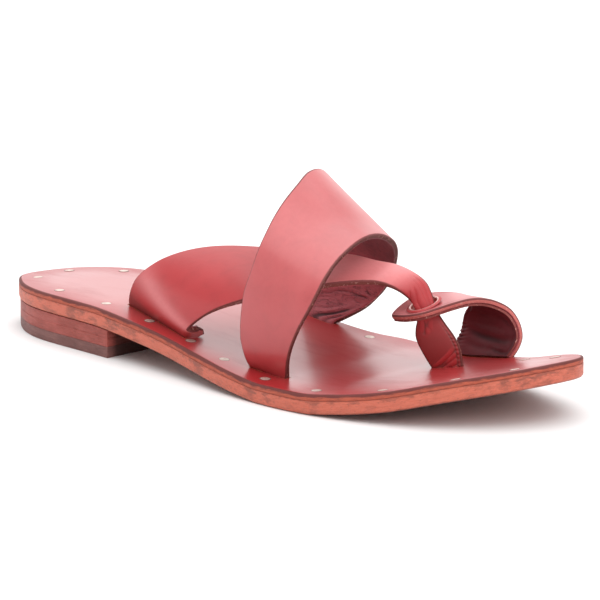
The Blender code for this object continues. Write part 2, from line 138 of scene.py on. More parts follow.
CROSS_STRAP = (
    # rear x, y, h, front x, y, h, wall, crown, round
    (0.274, -0.204, 0.000, 0.429, -0.322, 0.000, 1.0, 0.00, 0),
    (0.283, -0.228, 0.090, 0.436, -0.339, 0.088, 1.0, 0.01, 0),
    (0.295, -0.250, 0.215, 0.448, -0.358, 0.175, 1.0, 0.02, 0),
    (0.311, -0.267, 0.372, 0.465, -0.372, 0.278, 1.0, 0.03, 0),
    (0.330, -0.268, 0.510, 0.484, -0.382, 0.385, 1.0, 0.04, 0),
    (0.351, -0.244, 0.645, 0.505, -0.389, 0.490, 1.0, 0.04, 0),
    (0.373, -0.196, 0.750, 0.527, -0.391, 0.588, 1.0, 0.04, 0),
    (0.399, -0.136, 0.835, 0.551, -0.389, 0.680, 1.0, 0.04, 0),
    (0.432, -0.078, 0.900, 0.577, -0.380, 0.764, 1.0, 0.04, 0),
    (0.480, -0.024, 0.965, 0.604, -0.348, 0.838, 1.0, 0.03, 0),
    (0.528, 0.022, 1.035, 0.627, -0.270, 0.900, 1.0, 0.03, 0),
    (0.572, 0.062, 1.070, 0.645, -0.176, 0.938, 1.0, 0.03, 0),
    (0.608, 0.100, 1.090, 0.661, -0.095, 0.955, 1.0, 0.03, 0),
    (0.637, 0.135, 1.060, 0.675, -0.045, 0.956, 1.0, 0.03, 0),
    (0.662, 0.162, 1.040, 0.684, -0.006, 0.943, 1.0, 0.04, 0.2),
    (0.687, 0.177, 0.985, 0.694, 0.038, 0.893, 1.1, 0.05, 0.6),
    (0.711, 0.178, 0.900, 0.703, 0.080, 0.800, 1.4, 0.05, 1),
    (0.728, 0.168, 0.740, 0.710, 0.108, 0.690, 1.6, 0.05, 1),
    (0.740, 0.162, 0.590, 0.716, 0.112, 0.550, 1.6, 0.03, 1),
    (0.751, 0.165, 0.475, 0.714, 0.112, 0.435, 1.4, 0.03, 0.9),
    (0.763, 0.173, 0.350, 0.715, 0.113, 0.325, 1.3, 0.03, 0.8),
    (0.772, 0.182, 0.205, 0.724, 0.124, 0.170, 1.2, 0.02, 0.6),
    (0.775, 0.191, 0.000, 0.733, 0.149, 0.000, 1.2, 0.00, 0.5),
)
TOE_LOOP = (
    # rear x, y, h, front x, y, h, wall, crown, round
    (0.671, 0.127, 0.728, 0.676, 0.097, 0.715, 1.0, 0.00, 0),
    (0.672, 0.163, 0.818, 0.692, 0.074, 0.745, 1.0, 0.00, 0),
    (0.679, 0.197, 0.918, 0.716, 0.063, 0.786, 1.0, 0.00, 0),
    (0.692, 0.222, 0.992, 0.741, 0.071, 0.828, 1.0, 0.00, 0),
    (0.705, 0.245, 1.025, 0.754, 0.112, 0.874, 1.0, 0.00, 0),
    (0.714, 0.292, 1.007, 0.761, 0.185, 0.914, 1.0, 0.01, 0),
    (0.720, 0.343, 0.957, 0.764, 0.258, 0.928, 1.0, 0.02, 0),
    (0.721, 0.388, 0.870, 0.767, 0.326, 0.900, 1.0, 0.03, 0),
    (0.713, 0.419, 0.775, 0.774, 0.382, 0.826, 1.0, 0.03, 0),
    (0.701, 0.438, 0.655, 0.786, 0.421, 0.695, 1.0, 0.03, 0),
    (0.695, 0.448, 0.495, 0.796, 0.436, 0.510, 1.0, 0.03, 0),
    (0.692, 0.447, 0.330, 0.801, 0.438, 0.310, 1.0, 0.02, 0),
    (0.687, 0.438, 0.165, 0.798, 0.429, 0.145, 1.0, 0.01, 0),
    (0.684, 0.427, 0.000, 0.791, 0.412, 0.000, 1.0, 0.00, 0),
)
REAR, FRONT, WALL, CROWN, ROUND = slice(0, 3), slice(3, 6), 6, 7, 8

# The ends of a gathered oval, as a share of the wall at its middle
THIN_EDGE = 0.2

# Wall of a sheet while it is still flat, before it is laid on its strap
FLAT_WALL = 0.01

# Gap between the frame's outsole and insole, which the insole drawn here fills, and the much finer
# one that is left between pieces drawn face to face
FIT = 0.0003
SKIN = 0.00005

# Points closer than this are one point
MERGED = 0.000002

# Points from each corner of the sole's plan to the next
PLAN_STEPS = 24

# Rings of the sole's top and bottom lie closer towards the rim, by this power. Their middle line
# ends this share of the ball width from the heel's back and the toe's tip, and is worked out at so
# many places.
RING_CROWDING = 1.6
SPINE_END = 0.30
SPINE_PLACES = 60

# The rounding of a strap's cut edges: how far it reaches in, where its columns lie in it, and the
# share of the wall that is left at the very edge
EDGE_ROUNDING = 0.0006
EDGE_COLUMNS = (0.0, 0.04, 0.15, 0.35, 0.65, 1.0)
EDGE_WALL = 0.55

# Points to each row of a strap's table when the strap's length is measured
MEASURES_A_ROW = 20

# Lines along each strap's sheet and columns across it
INSTEP_GRID = (260, 84)
CROSS_GRID = (480, 74)
LOOP_GRID = (150, 54)

# Heel: how far it stands in under the sole's edge, the points of its breast line, the depth that
# its finish takes each block for, and how deep the seam between two layers goes, as a share of the
# way to the heel's middle
HEEL_INSET = 0.0005
BREAST_POINTS = 26
BLOCK_LAY = 0.008
SEAM_DEPTH = 0.006

# How far the straps' ends run down into their slots, as a share of the insole
FOOT_DEPTH = 0.8

# Slots in the insole: the room round a strap's foot, how much a gathered foot takes from the slot's
# half length and half width, and how far the cutter stands out over the insole and under it
SLOT_ROOM = 0.0002
GATHERED_LENGTH = 0.0012
GATHERED_WIDTH = 0.0006
CUTTER_OVER = 0.006
CUTTER_UNDER = 0.002

# Toe loop: how far inwards of the middle surface its leather reaches and its lining starts, as
# shares of half the wall, and how far the lining's edge stands back
LEATHER_SHARE = 0.30
LINING_SHARE = 0.40
LINING_TRIM = 0.0005

# Where the thong goes through the loop: the loop's section, and the share of its width
GROMMET_SECTION = 3.15
GROMMET_SHARE = 0.57

# Grommet: its barrel's wall, the room that the hole in the loop has round its bore, the length of
# the drill for that hole, how far out from the bore the flange keeps its bare metal colour before
# the leather's painted reflection starts, and the points of its circles
GROMMET_WALL = 0.0004
HOLE_ROOM = 0.0005
HOLE_DEPTH = 0.012
CLEAN_RIM = 0.0008
GROMMET_POINTS = 72

# Nails, in the order of the frame's nodes, and the points of their circles
NAILS = 20
NAIL_POINTS = 32

# The diagonal strap's front margin rolls inwards over its first rows: how far it reaches at the
# foot, the rows it fades over, the roll's radius and how far it turns. The higher hold is, the
# further from the foot the turn stays full.
CURL_REACH = 0.0062
CURL_ROWS = 1.6
CURL_RADIUS = 0.0013
CURL_TURN = math.radians(92)
CURL_HOLD = 1.6


class SandalSizes(bpy.types.PropertyGroup):
    """Sizes that can be changed before the pieces are made."""

    length: bpy.props.FloatProperty(
        name="Sole length", description="From the heel's back to the toe's tip",
        default=LENGTH, unit="LENGTH", precision=4)
    ball_width: bpy.props.FloatProperty(
        name="Ball width", description="Width of the sole at the ball of the foot",
        default=BALL_WIDTH, unit="LENGTH", precision=4)
    heel_length: bpy.props.FloatProperty(
        name="Heel length", description="From the heel's back to the breast",
        default=HEEL_LENGTH, unit="LENGTH", precision=4)
    heel_height: bpy.props.FloatProperty(
        name="Heel height", description="Height of the outsole's underside at the heel seat",
        default=0.0108, unit="LENGTH", precision=4)
    toe_spring: bpy.props.FloatProperty(
        name="Toe spring", description="Height of the outsole's underside at the toe's tip",
        default=0.0150, unit="LENGTH", precision=4)
    outsole: bpy.props.FloatProperty(
        name="Outsole", description="Thickness of the raw leather outsole",
        default=0.0048, unit="LENGTH", precision=4)
    insole: bpy.props.FloatProperty(
        name="Insole", description="Thickness of the polished insole",
        default=0.0019, unit="LENGTH", precision=4)
    lift: bpy.props.FloatProperty(
        name="Heel lift", description="Thickness of the piece under the heel",
        default=LIFT_THICKNESS, unit="LENGTH", precision=4)
    strap: bpy.props.FloatProperty(
        name="Strap leather", description="Thickness of the two straps",
        default=0.0022, unit="LENGTH", precision=4)
    loop: bpy.props.FloatProperty(
        name="Toe loop", description="Thickness of the loop with its lining",
        default=0.0028, unit="LENGTH", precision=4)
    instep_rise: bpy.props.FloatProperty(
        name="Instep rise", description="Height of the instep strap over the insole",
        default=0.0650, unit="LENGTH", precision=4)
    cross_rise: bpy.props.FloatProperty(
        name="Cross strap rise", description="Height of the diagonal strap over the insole",
        default=0.0320, unit="LENGTH", precision=4)
    loop_rise: bpy.props.FloatProperty(
        name="Toe loop rise", description="Height of the toe loop over the insole",
        default=0.0230, unit="LENGTH", precision=4)
    bore: bpy.props.FloatProperty(
        name="Grommet bore", description="Width of the hole that the thong goes through",
        default=0.0094, unit="LENGTH", precision=4)
    rim: bpy.props.FloatProperty(
        name="Grommet rim", description="Width of the grommet's flange",
        default=0.0128, unit="LENGTH", precision=4)
    nail: bpy.props.FloatProperty(
        name="Nail head", description="Width of a nail's head",
        default=0.0041, unit="LENGTH", precision=4)


# Colours that go with those of the panel: the insole's margin, a deeper red painted in as
# reflection and shade; the heel's flecks, which also give the painted shade on its breast; the
# painted shade in folds and creases; and the fibres that show where the cut edges are worn
MARGIN_SHADE_RED = (0.36, 0.012, 0.016)
STACK_FLECKS_AND_SHADE = (0.03, 0.012, 0.010)
LIFT_FLECKS_AND_SHADE = (0.03, 0.015, 0.012)
FLESH_FOLD_SHADE = (0.035, 0.008, 0.012)
LINING_SHADE_AND_RIM = (0.020, 0.004, 0.006)
INSTEP_FIBRES = (0.52, 0.27, 0.21)
CROSS_FIBRES = (0.60, 0.34, 0.28)
LOOP_FIBRES = (0.80, 0.48, 0.40)
HEM_FIBRES = (0.72, 0.42, 0.36)


def colour_property(name, description, colour):
    return bpy.props.FloatVectorProperty(
        name=name, description=description, default=colour, subtype="COLOR", size=3, min=0, max=1)


class SandalColours(bpy.types.PropertyGroup):
    """Colours of the leathers, metals and floor."""

    strap: colour_property("Strap", "Grain side of the straps", (0.42, 0.038, 0.042))
    # The lighter strap red gives the leather's paler clouds and the base of its painted sheen
    strap_light: colour_property("Strap, rubbed", "Lighter places on the straps", (0.50, 0.074, 0.078))
    flesh: colour_property("Flesh side", "Inner side of the straps", (0.36, 0.068, 0.082))
    cut_edge: colour_property("Cut edge", "Edge of the straps", (0.105, 0.031, 0.027))
    insole: colour_property("Insole", "Top of the insole", (0.40, 0.032, 0.034))
    insole_light: colour_property("Insole, rubbed", "Lighter places on the insole", (0.50, 0.075, 0.072))
    insole_edge: colour_property("Insole edge", "Burnished edge of the insole", (0.11, 0.028, 0.023))
    raw: colour_property("Raw leather", "Edge of the outsole", (0.52, 0.106, 0.056))
    raw_dark: colour_property("Raw leather, burnished", "Dark rim of the outsole", (0.22, 0.055, 0.035))
    stack: colour_property("Heel stack", "Side of the stacked heel", (0.27, 0.056, 0.044))
    lift: colour_property("Heel lift", "Side of the heel's lowest layer", (0.155, 0.063, 0.056))
    # The diagonal strap's deeper red is painted shade, and its lighter red gives its painted sheen
    cross: colour_property("Diagonal strap", "Grain side of the diagonal strap", (0.42, 0.028, 0.032))
    cross_light: colour_property("Diagonal strap, rubbed", "Its lighter places", (0.47, 0.042, 0.046))
    loop_edge: colour_property("Toe loop edge", "Cut edge of the toe loop", (0.50, 0.145, 0.130))
    lining: colour_property("Lining", "Lining of the toe loop", (0.105, 0.013, 0.018))
    grommet: colour_property("Grommet", "Metal of the grommet", (0.80, 0.47, 0.43))
    nail: colour_property("Nail", "Metal of the nail heads", (0.70, 0.56, 0.49))
    floor: colour_property("Floor", "Pale floor", (0.90, 0.90, 0.90))


def sizes():
    return bpy.context.scene.sandal_sizes


def colours():
    return bpy.context.scene.sandal_colours


class Value:
    """A node's output in a finish. Sums, differences and products of values add Math nodes."""

    def __init__(self, finish, socket):
        self.finish = finish
        self.socket = socket

    def math(self, operation, *others):
        return self.finish.node("Math", {"operation": operation}, self, *others)

    def __add__(self, other):
        return self.math("ADD", other)

    __radd__ = __add__

    def __mul__(self, other):
        return self.math("MULTIPLY", other)

    __rmul__ = __mul__

    def __sub__(self, other):
        return self.math("SUBTRACT", other)

    def __rsub__(self, other):
        return self.finish.node("Math", {"operation": "SUBTRACT"}, other, self)

    def between(self, low, high):
        """0 up to low and 1 from high on, smooth between them; low may be the higher number."""
        settings = {"interpolation_type": "SMOOTHSTEP"}
        return self.finish.node("MapRange", settings, Value=self, **{"From Min": low, "From Max": high})


class Finish:
    """A material made of nodes, for one kind of leather, metal or floor."""

    def __init__(self, name):
        self.material = bpy.data.materials.new(name)
        self.material.use_nodes = True
        self.tree = self.material.node_tree
        self.surface = self.tree.nodes["Principled BSDF"]

    def put(self, socket, value):
        if isinstance(value, Value):
            self.tree.links.new(value.socket, socket)
        elif socket.type == "RGBA" and len(value) == 3:
            socket.default_value = (*value, 1)
        else:
            socket.default_value = value

    def node(self, kind, settings, *inputs, output=0, **named):
        """Adds a node: its settings first, then its inputs in order or by name. None skips one."""
        node = self.tree.nodes.new("ShaderNode" + kind)
        for key, setting in settings.items():
            setattr(node, key, setting)
        for socket, value in zip(node.inputs, inputs):
            if value is not None:
                self.put(socket, value)
        for key, value in named.items():
            self.put(node.inputs[key], value)
        return Value(self, node.outputs[output])

    def object_place(self, scale=(1, 1, 1)):
        """Object coordinates in millimetres, stretched by a scale."""
        place = self.node("TexCoord", {}, output="Object")
        return self.millimetres(place, scale)

    def lay(self, scale=(1, 1, 1)):
        """The piece's own coordinates in millimetres: along it, across it and through its wall."""
        place = self.node("Attribute", {"attribute_name": "lay"}, output="Vector")
        return self.millimetres(place, scale)

    def millimetres(self, place, scale):
        factors = tuple(1000 * part for part in scale)
        return self.node("VectorMath", {"operation": "MULTIPLY"}, place, factors)

    def attribute(self, name):
        return self.node("Attribute", {"attribute_name": name}, output="Fac")

    def noise(self, place, scale, detail, roughness=0.5, distortion=0.0):
        return self.node("TexNoise", {}, Vector=place, Scale=scale, Detail=detail,
                         Roughness=roughness, Distortion=distortion)

    def cells(self, place, scale):
        return self.node("TexVoronoi", {}, Vector=place, Scale=scale)

    def mix(self, factor, first, second):
        """A colour between two colours, which a Mix node takes after its number and vector inputs."""
        skipped = [None] * 5
        return self.node("Mix", {"data_type": "RGBA"}, factor, *skipped, first, second, output=2)

    def bump(self, height, distance, strength):
        """A normal from a height; distance is how far a height of 1 stands out, in metres."""
        return self.node("Bump", {}, Height=height, Distance=distance, Strength=strength)

    def set(self, **named):
        """Sets the shader's inputs; an underscore stands for a space."""
        for key, value in named.items():
            self.put(self.surface.inputs[key.replace("_", " ")], value)
        return self.material


def tinted(colour, factor, lift=0.0):
    """A colour times a factor, with every channel lifted by the same amount."""
    return tuple(factor * part + lift for part in colour)


def grain_leather(name, deep, light, edge, roughness=0.30, coat=0.35, shine=0.5):
    """Dyed and waxed grain leather: smooth, softly clouded, painted sheen and shade, darker along its
    rim.
    """
    finish = Finish(name)
    place = finish.lay()
    cloud = finish.noise(place, 0.030, 2.0, 0.4, 0.6).between(0.35, 0.70)
    fine = finish.noise(place, 0.50, 4.0, 0.6)
    colour = finish.mix(cloud * 0.55 + fine * 0.10, deep, light)
    mottle = finish.noise(place, 0.11, 5.0, 0.62, 0.4).between(0.42, 0.72)
    colour = finish.mix(mottle * 0.28, colour, tinted(deep, 0.66))
    freckles = finish.noise(place, 1.1, 2.0).between(0.70, 0.78)
    colour = finish.mix(freckles * 0.25, colour, edge)
    # Painted sheen: towards a paler, whiter red, as far as the attribute asks
    pale_tone_and_sheen = finish.attribute("pale_tone_and_sheen") * (0.75 + fine * 0.4)
    colour = finish.mix(pale_tone_and_sheen, colour, tinted(light, 1.2, 0.20))
    # Painted shade in folds, creases and shaded places, in the edge colour
    colour = finish.mix(finish.attribute("painted_shade").between(0.0, 1.0) * 0.75, colour, edge)
    rim = (finish.attribute("rim") + fine * 0.0003).between(0.0009, 0.0004)
    colour = finish.mix(rim * 0.85, colour, edge)
    pores = finish.cells(place, 1.6).between(0.05, 0.45)
    height = pores * 0.02 + fine * 0.05 + finish.noise(place, 0.10, 2.0) * 0.25
    rough = roughness + fine * 0.08 + cloud * 0.04 + rim * 0.4
    return finish.set(Base_Color=colour, Roughness=rough, Normal=finish.bump(height, 0.001, 0.3),
                      Coat_Weight=(1 - rim) * coat, Coat_Roughness=0.46, Specular_IOR_Level=shine)


def flesh_leather(name, colour, dark):
    """Flesh side of the leather: matt and fibrous, with fine creases; painted shade in them and where it
    lies in shade.
    """
    finish = Finish(name)
    place = finish.lay()
    fibre = finish.noise(finish.lay((1.3, 0.7, 1)), 0.9, 5.0, 0.6)
    wrinkle = finish.noise(finish.lay((1.0, 0.40, 1)), 0.42, 3.0, 0.55, 0.9)
    line = (wrinkle - 0.5).math("ABSOLUTE").between(0.030, 0.0)
    cloud = finish.noise(place, 0.07, 2.0).between(0.3, 0.7)
    pale = tinted(colour, 1.35, 0.02)
    tone = finish.mix(cloud * 0.4 + fibre.between(0.35, 0.75) * 0.4, colour, pale)
    # Painted shade in the fine creases, then in folds and shaded places
    tone = finish.mix(line * 0.5, tone, dark)
    tone = finish.mix(finish.attribute("painted_shade").between(0.0, 1.0) * 0.9, tone, dark)
    height = fibre * 0.25 - line * 0.12
    return finish.set(Base_Color=tone, Roughness=0.68, Normal=finish.bump(height, 0.001, 0.7))


def edge_leather(name, colour, pale, worn):
    """Cut edge of a strap: dark dye over layered fibres, with pale specks where it is worn."""
    finish = Finish(name)
    place = finish.object_place()
    fibre = finish.noise(finish.lay((0.5, 1, 3)), 1.4, 4.0, 0.7)
    specks = finish.noise(place, 0.85, 4.0, 0.65).between(0.57, 0.66)
    tone = finish.mix(fibre.between(0.3, 0.8) * 0.5, colour, tinted(colour, 2.2))
    tone = finish.mix(specks * worn, tone, pale)
    return finish.set(Base_Color=tone, Roughness=0.7, Normal=finish.bump(fibre, 0.0006, 0.6),
                      Specular_IOR_Level=0.15)


def insole_leather(name, deep, light, edge, raw):
    """Polished insole: glossy, softly clouded, painted shade near its rim, a dark edge, raw low on its
    edge.
    """
    finish = Finish(name)
    place = finish.object_place()
    cloud = finish.noise(place, 0.016, 2.0, 0.45).between(0.35, 0.68)
    tone = finish.mix(cloud * 0.5, deep, light)
    streak = finish.noise(finish.object_place((0.35, 1.2, 1)), 0.09, 5.0, 0.62).between(0.45, 0.75)
    tone = finish.mix(streak * 0.25, tone, tinted(deep, 0.6))
    rim = finish.attribute("rim")
    # Painted reflection and shade: a deeper red within about 16 mm of the rim
    margin = (rim + cloud * 0.004).between(0.016, 0.004)
    tone = finish.mix(margin * 0.6, tone, MARGIN_SHADE_RED)
    side = rim.between(0.0012, 0.0004)
    tone = finish.mix(side * 0.9, tone, edge)
    fibre = finish.noise(finish.lay((0.35, 1, 2.2)), 0.9, 5.0, 0.7)
    patch = finish.noise(finish.lay((0.4, 1, 1.0)), 0.35, 4.0, 0.65)
    low = finish.attribute("low")
    bare = (low + patch * 0.9 + fibre * 0.3).between(1.30, 0.98)
    tone = finish.mix(bare * 0.9, tone, finish.mix(fibre.between(0.35, 0.80) * 0.8, raw, edge))
    fine = finish.noise(place, 0.35, 3.0, 0.5)
    height = finish.noise(place, 0.07, 2.0) * 0.5 + fine * 0.03 + bare * fibre * 0.4
    rough = 0.30 + cloud * 0.08 + streak * 0.10 + side * 0.3
    return finish.set(Base_Color=tone, Roughness=rough, Normal=finish.bump(height, 0.001, 0.12),
                      Coat_Weight=(1 - side) * (0.5 - margin * 0.35), Coat_Roughness=0.20,
                      Specular_IOR_Level=0.4)


def raw_leather(name, raw, dark):
    """Raw edge of sole leather: orange fibres in layers, with brown flecks and a burnished rim."""
    finish = Finish(name)
    fibre = finish.noise(finish.lay((0.35, 1, 2.2)), 0.9, 5.0, 0.7)
    patch = finish.noise(finish.lay((0.45, 1, 1.1)), 0.30, 5.0, 0.7).between(0.45, 0.62)
    fleck = finish.noise(finish.lay((0.5, 1, 1.2)), 1.1, 4.0, 0.75).between(0.54, 0.68)
    stain = finish.noise(finish.lay((0.6, 1, 1.0)), 0.035, 3.0, 0.5).between(0.40, 0.60)
    pale = tinted(raw, 1.2, 0.06)
    tone = finish.mix(fibre.between(0.25, 0.75) * 0.6, raw, pale)
    tone = finish.mix(patch * 0.72 * (stain * 0.75 + 0.25), tone, dark)
    tone = finish.mix(fleck * 0.55, tone, dark)
    low = finish.attribute("low")
    ragged = low + fibre * 0.30 - 0.15
    tone = finish.mix(ragged.between(0.16, 0.0) * 0.8, tone, dark)
    upper = (low + patch * 0.25 + fibre * 0.20).between(0.98, 1.12)
    tone = finish.mix(upper * 0.45, tone, dark)
    height = fibre * 0.5 - fleck * 0.2 - patch * 0.15
    return finish.set(Base_Color=tone, Roughness=0.52, Normal=finish.bump(height, 0.001, 0.45))


def stacked_leather(name, colour, dark):
    """Side of the stacked heel: burnished fibres with pale worn patches, dark flecks and a painted-shade
    breast.
    """
    finish = Finish(name)
    fibre = finish.noise(finish.lay((0.25, 1, 2.5)), 0.8, 4.0, 0.65)
    patch = finish.noise(finish.lay((0.6, 1, 1)), 0.16, 5.0, 0.65).between(0.35, 0.7)
    pale = tinted(colour, 1.7, 0.03)
    tone = finish.mix(fibre.between(0.3, 0.8) * 0.4 + patch * 0.5, colour, pale)
    fleck = finish.noise(finish.lay((0.45, 1, 1)), 0.55, 5.0, 0.75).between(0.54, 0.70)
    tone = finish.mix(fleck * 0.55, tone, dark)
    # Painted shade on the breast, in the flecks' dark colour
    tone = finish.mix(finish.attribute("shade") * 0.7, tone, dark)
    return finish.set(Base_Color=tone, Roughness=0.50, Normal=finish.bump(fibre, 0.0008, 0.5),
                      Coat_Weight=0.04, Coat_Roughness=0.25, Specular_IOR_Level=0.2)


def metal(name, colour, dull, leather_tint, roughness, metallic):
    """Thin plated metal with faint tarnish, and the colour of a leather where an attribute asks for it.
    """
    finish = Finish(name)
    place = finish.object_place()
    tarnish = finish.noise(place, 0.7, 4.0, 0.6).between(0.4, 0.75)
    tone = finish.mix(tarnish * 0.5, colour, dull)
    # On the grommet's flange the strap's red is painted reflection; the nails' rims take the insole edge
    leather_tinted = finish.attribute("leather_tinted")
    tone = finish.mix(leather_tinted, tone, leather_tint)
    rough = roughness + tarnish * 0.2 + leather_tinted * 0.2
    bump = finish.bump(finish.noise(place, 1.1, 3.0), 0.0005, 0.25)
    return finish.set(Base_Color=tone, Roughness=rough, Metallic=(1 - leather_tinted) * metallic, Normal=bump)


def deselect():
    bpy.ops.object.select_all(action="DESELECT")


def choose(thing):
    """Makes an object the only selected one, and the active one."""
    deselect()
    thing.select_set(True)
    bpy.context.view_layer.objects.active = thing


def apply_modifiers(thing):
    choose(thing)
    for modifier in list(thing.modifiers):
        bpy.ops.object.modifier_apply(modifier=modifier.name)


def smooth(thing, angle):
    choose(thing)
    bpy.ops.object.shade_smooth_by_angle(angle=math.radians(angle))


def between_two(a, b, c, d, t):
    """The smooth curve through four points, from the second at t = 0 to the third at t = 1."""
    return 0.5 * (2 * b + (c - a) * t + (2 * a - 5 * b + 4 * c - d) * t ** 2
                  + (3 * b - a - 3 * c + d) * t ** 3)


def along_rows(table, places):
    """Rows of a table at any places along it, on a smooth curve through its rows."""
    rows = np.array(table, dtype=float)
    padded = np.vstack([rows[:1], rows, rows[-1:]])
    low = np.clip(np.floor(places).astype(int), 0, len(rows) - 2)
    t = (np.asarray(places, dtype=float) - low)[..., None]
    return between_two(*(padded[low + k] for k in range(4)), t)


def station(share):
    """Distance along the sole, from the origin under the heel's middle."""
    return share * sizes().length - sizes().heel_length / 2


def plan_points():
    """Closed plan of the sole, on a smooth curve through the corners of its table."""
    corners = np.array([(station(x), y * sizes().ball_width) for x, y in SOLE_PLAN])
    count = len(corners)
    wrapped = corners[np.arange(-1, count + 2) % count]
    t = (np.arange(PLAN_STEPS) / PLAN_STEPS)[:, None]
    return np.vstack([between_two(*wrapped[i:i + 4], t) for i in range(count)])


def plan_inwards(points):
    """Unit directions from each point of a closed plan towards its inside."""
    along = np.roll(points, -1, axis=0) - np.roll(points, 1, axis=0)
    along /= np.linalg.norm(along, axis=1)[:, None]
    return np.column_stack([-along[:, 1], along[:, 0]])


def distance_round(outline):
    """Distance round a closed outline from its first point to each of its points."""
    run = np.linalg.norm(np.roll(outline, -1, axis=0) - outline, axis=1)
    return np.concatenate([[0], np.cumsum(run)[:-1]])


def underside(x):
    """Height of the outsole's bottom at each x, on a curve that doesn't overshoot its table."""
    run = np.array(SOLE_RUN)
    places = station(run[:, 0])
    heights = run[:, 1] * sizes().heel_height + run[:, 2] * sizes().toe_spring
    slopes = np.diff(heights) / np.diff(places)
    joined = slopes[:-1] * slopes[1:]
    safe = np.where(joined > 0, slopes[:-1] + slopes[1:], 1.0)
    middle = np.where(joined > 0, 2 * joined / safe, 0.0)
    tangents = np.concatenate([slopes[:1], middle, slopes[-1:]])
    x = np.clip(x, places[0], places[-1])
    span = np.clip(np.searchsorted(places, x, side="left") - 1, 0, len(slopes) - 1)
    width = places[span + 1] - places[span]
    t = (x - places[span]) / width
    rise = heights[span + 1] - heights[span]
    bend = (tangents[span] + tangents[span + 1]) * width - 2 * rise
    lead = 3 * rise - (2 * tangents[span] + tangents[span + 1]) * width
    return heights[span] + tangents[span] * width * t + lead * t ** 2 + bend * t ** 3


def outsole_top(x):
    return underside(x) + sizes().outsole


def insole_top(x):
    return outsole_top(x) + FIT + sizes().insole


def soft_noise(along, across, scale, seed):
    """Smooth wandering between about -1 and 1, the same each run: a few sine waves at odd angles."""
    generator = np.random.default_rng(seed)
    total = np.zeros(np.broadcast(along, across).shape)
    for _ in range(7):
        angle = generator.uniform(0, math.pi)
        wave = generator.uniform(0.6, 1.8) * 2 * math.pi / scale
        phase = generator.uniform(0, 2 * math.pi)
        total += np.sin((along * math.cos(angle) + across * math.sin(angle)) * wave + phase)
    return total / 4


def crease_height(strap, creases):
    """Height of soft creases on a strap: each is a trough with a low ridge at each side.

    A crease has its start and its end, each as a row of the strap's table and a share of the width,
    then its bend, depth and width in millimetres.
    """
    along, across = strap.along[:, None], strap.across()
    height = np.zeros_like(across)
    for start_row, start_share, end_row, end_share, *measures in creases:
        bend, depth, width = (0.001 * measure for measure in measures)
        start_u, start_v = strap.spot(start_row, start_share)
        end_u, end_v = strap.spot(end_row, end_share)
        run_u, run_v = end_u - start_u, end_v - start_v
        length = math.hypot(run_u, run_v)
        t = ((along - start_u) * run_u + (across - start_v) * run_v) / length ** 2
        inside = np.clip(t, 0, 1)
        off = ((along - start_u) * run_v - (across - start_v) * run_u) / length
        off = off - bend * 4 * inside * (1 - inside)
        past = (t - inside) * length
        fade = np.sqrt(np.clip(np.sin(np.pi * np.clip(t, 0.02, 0.98)), 0, 1))
        reach = off ** 2 + past ** 2
        trough = np.exp(-reach / width ** 2)
        ridge = np.exp(-(np.sqrt(reach) - 1.9 * width) ** 2 / (0.9 * width) ** 2)
        height += depth * fade * (0.45 * ridge - trough)
    return height


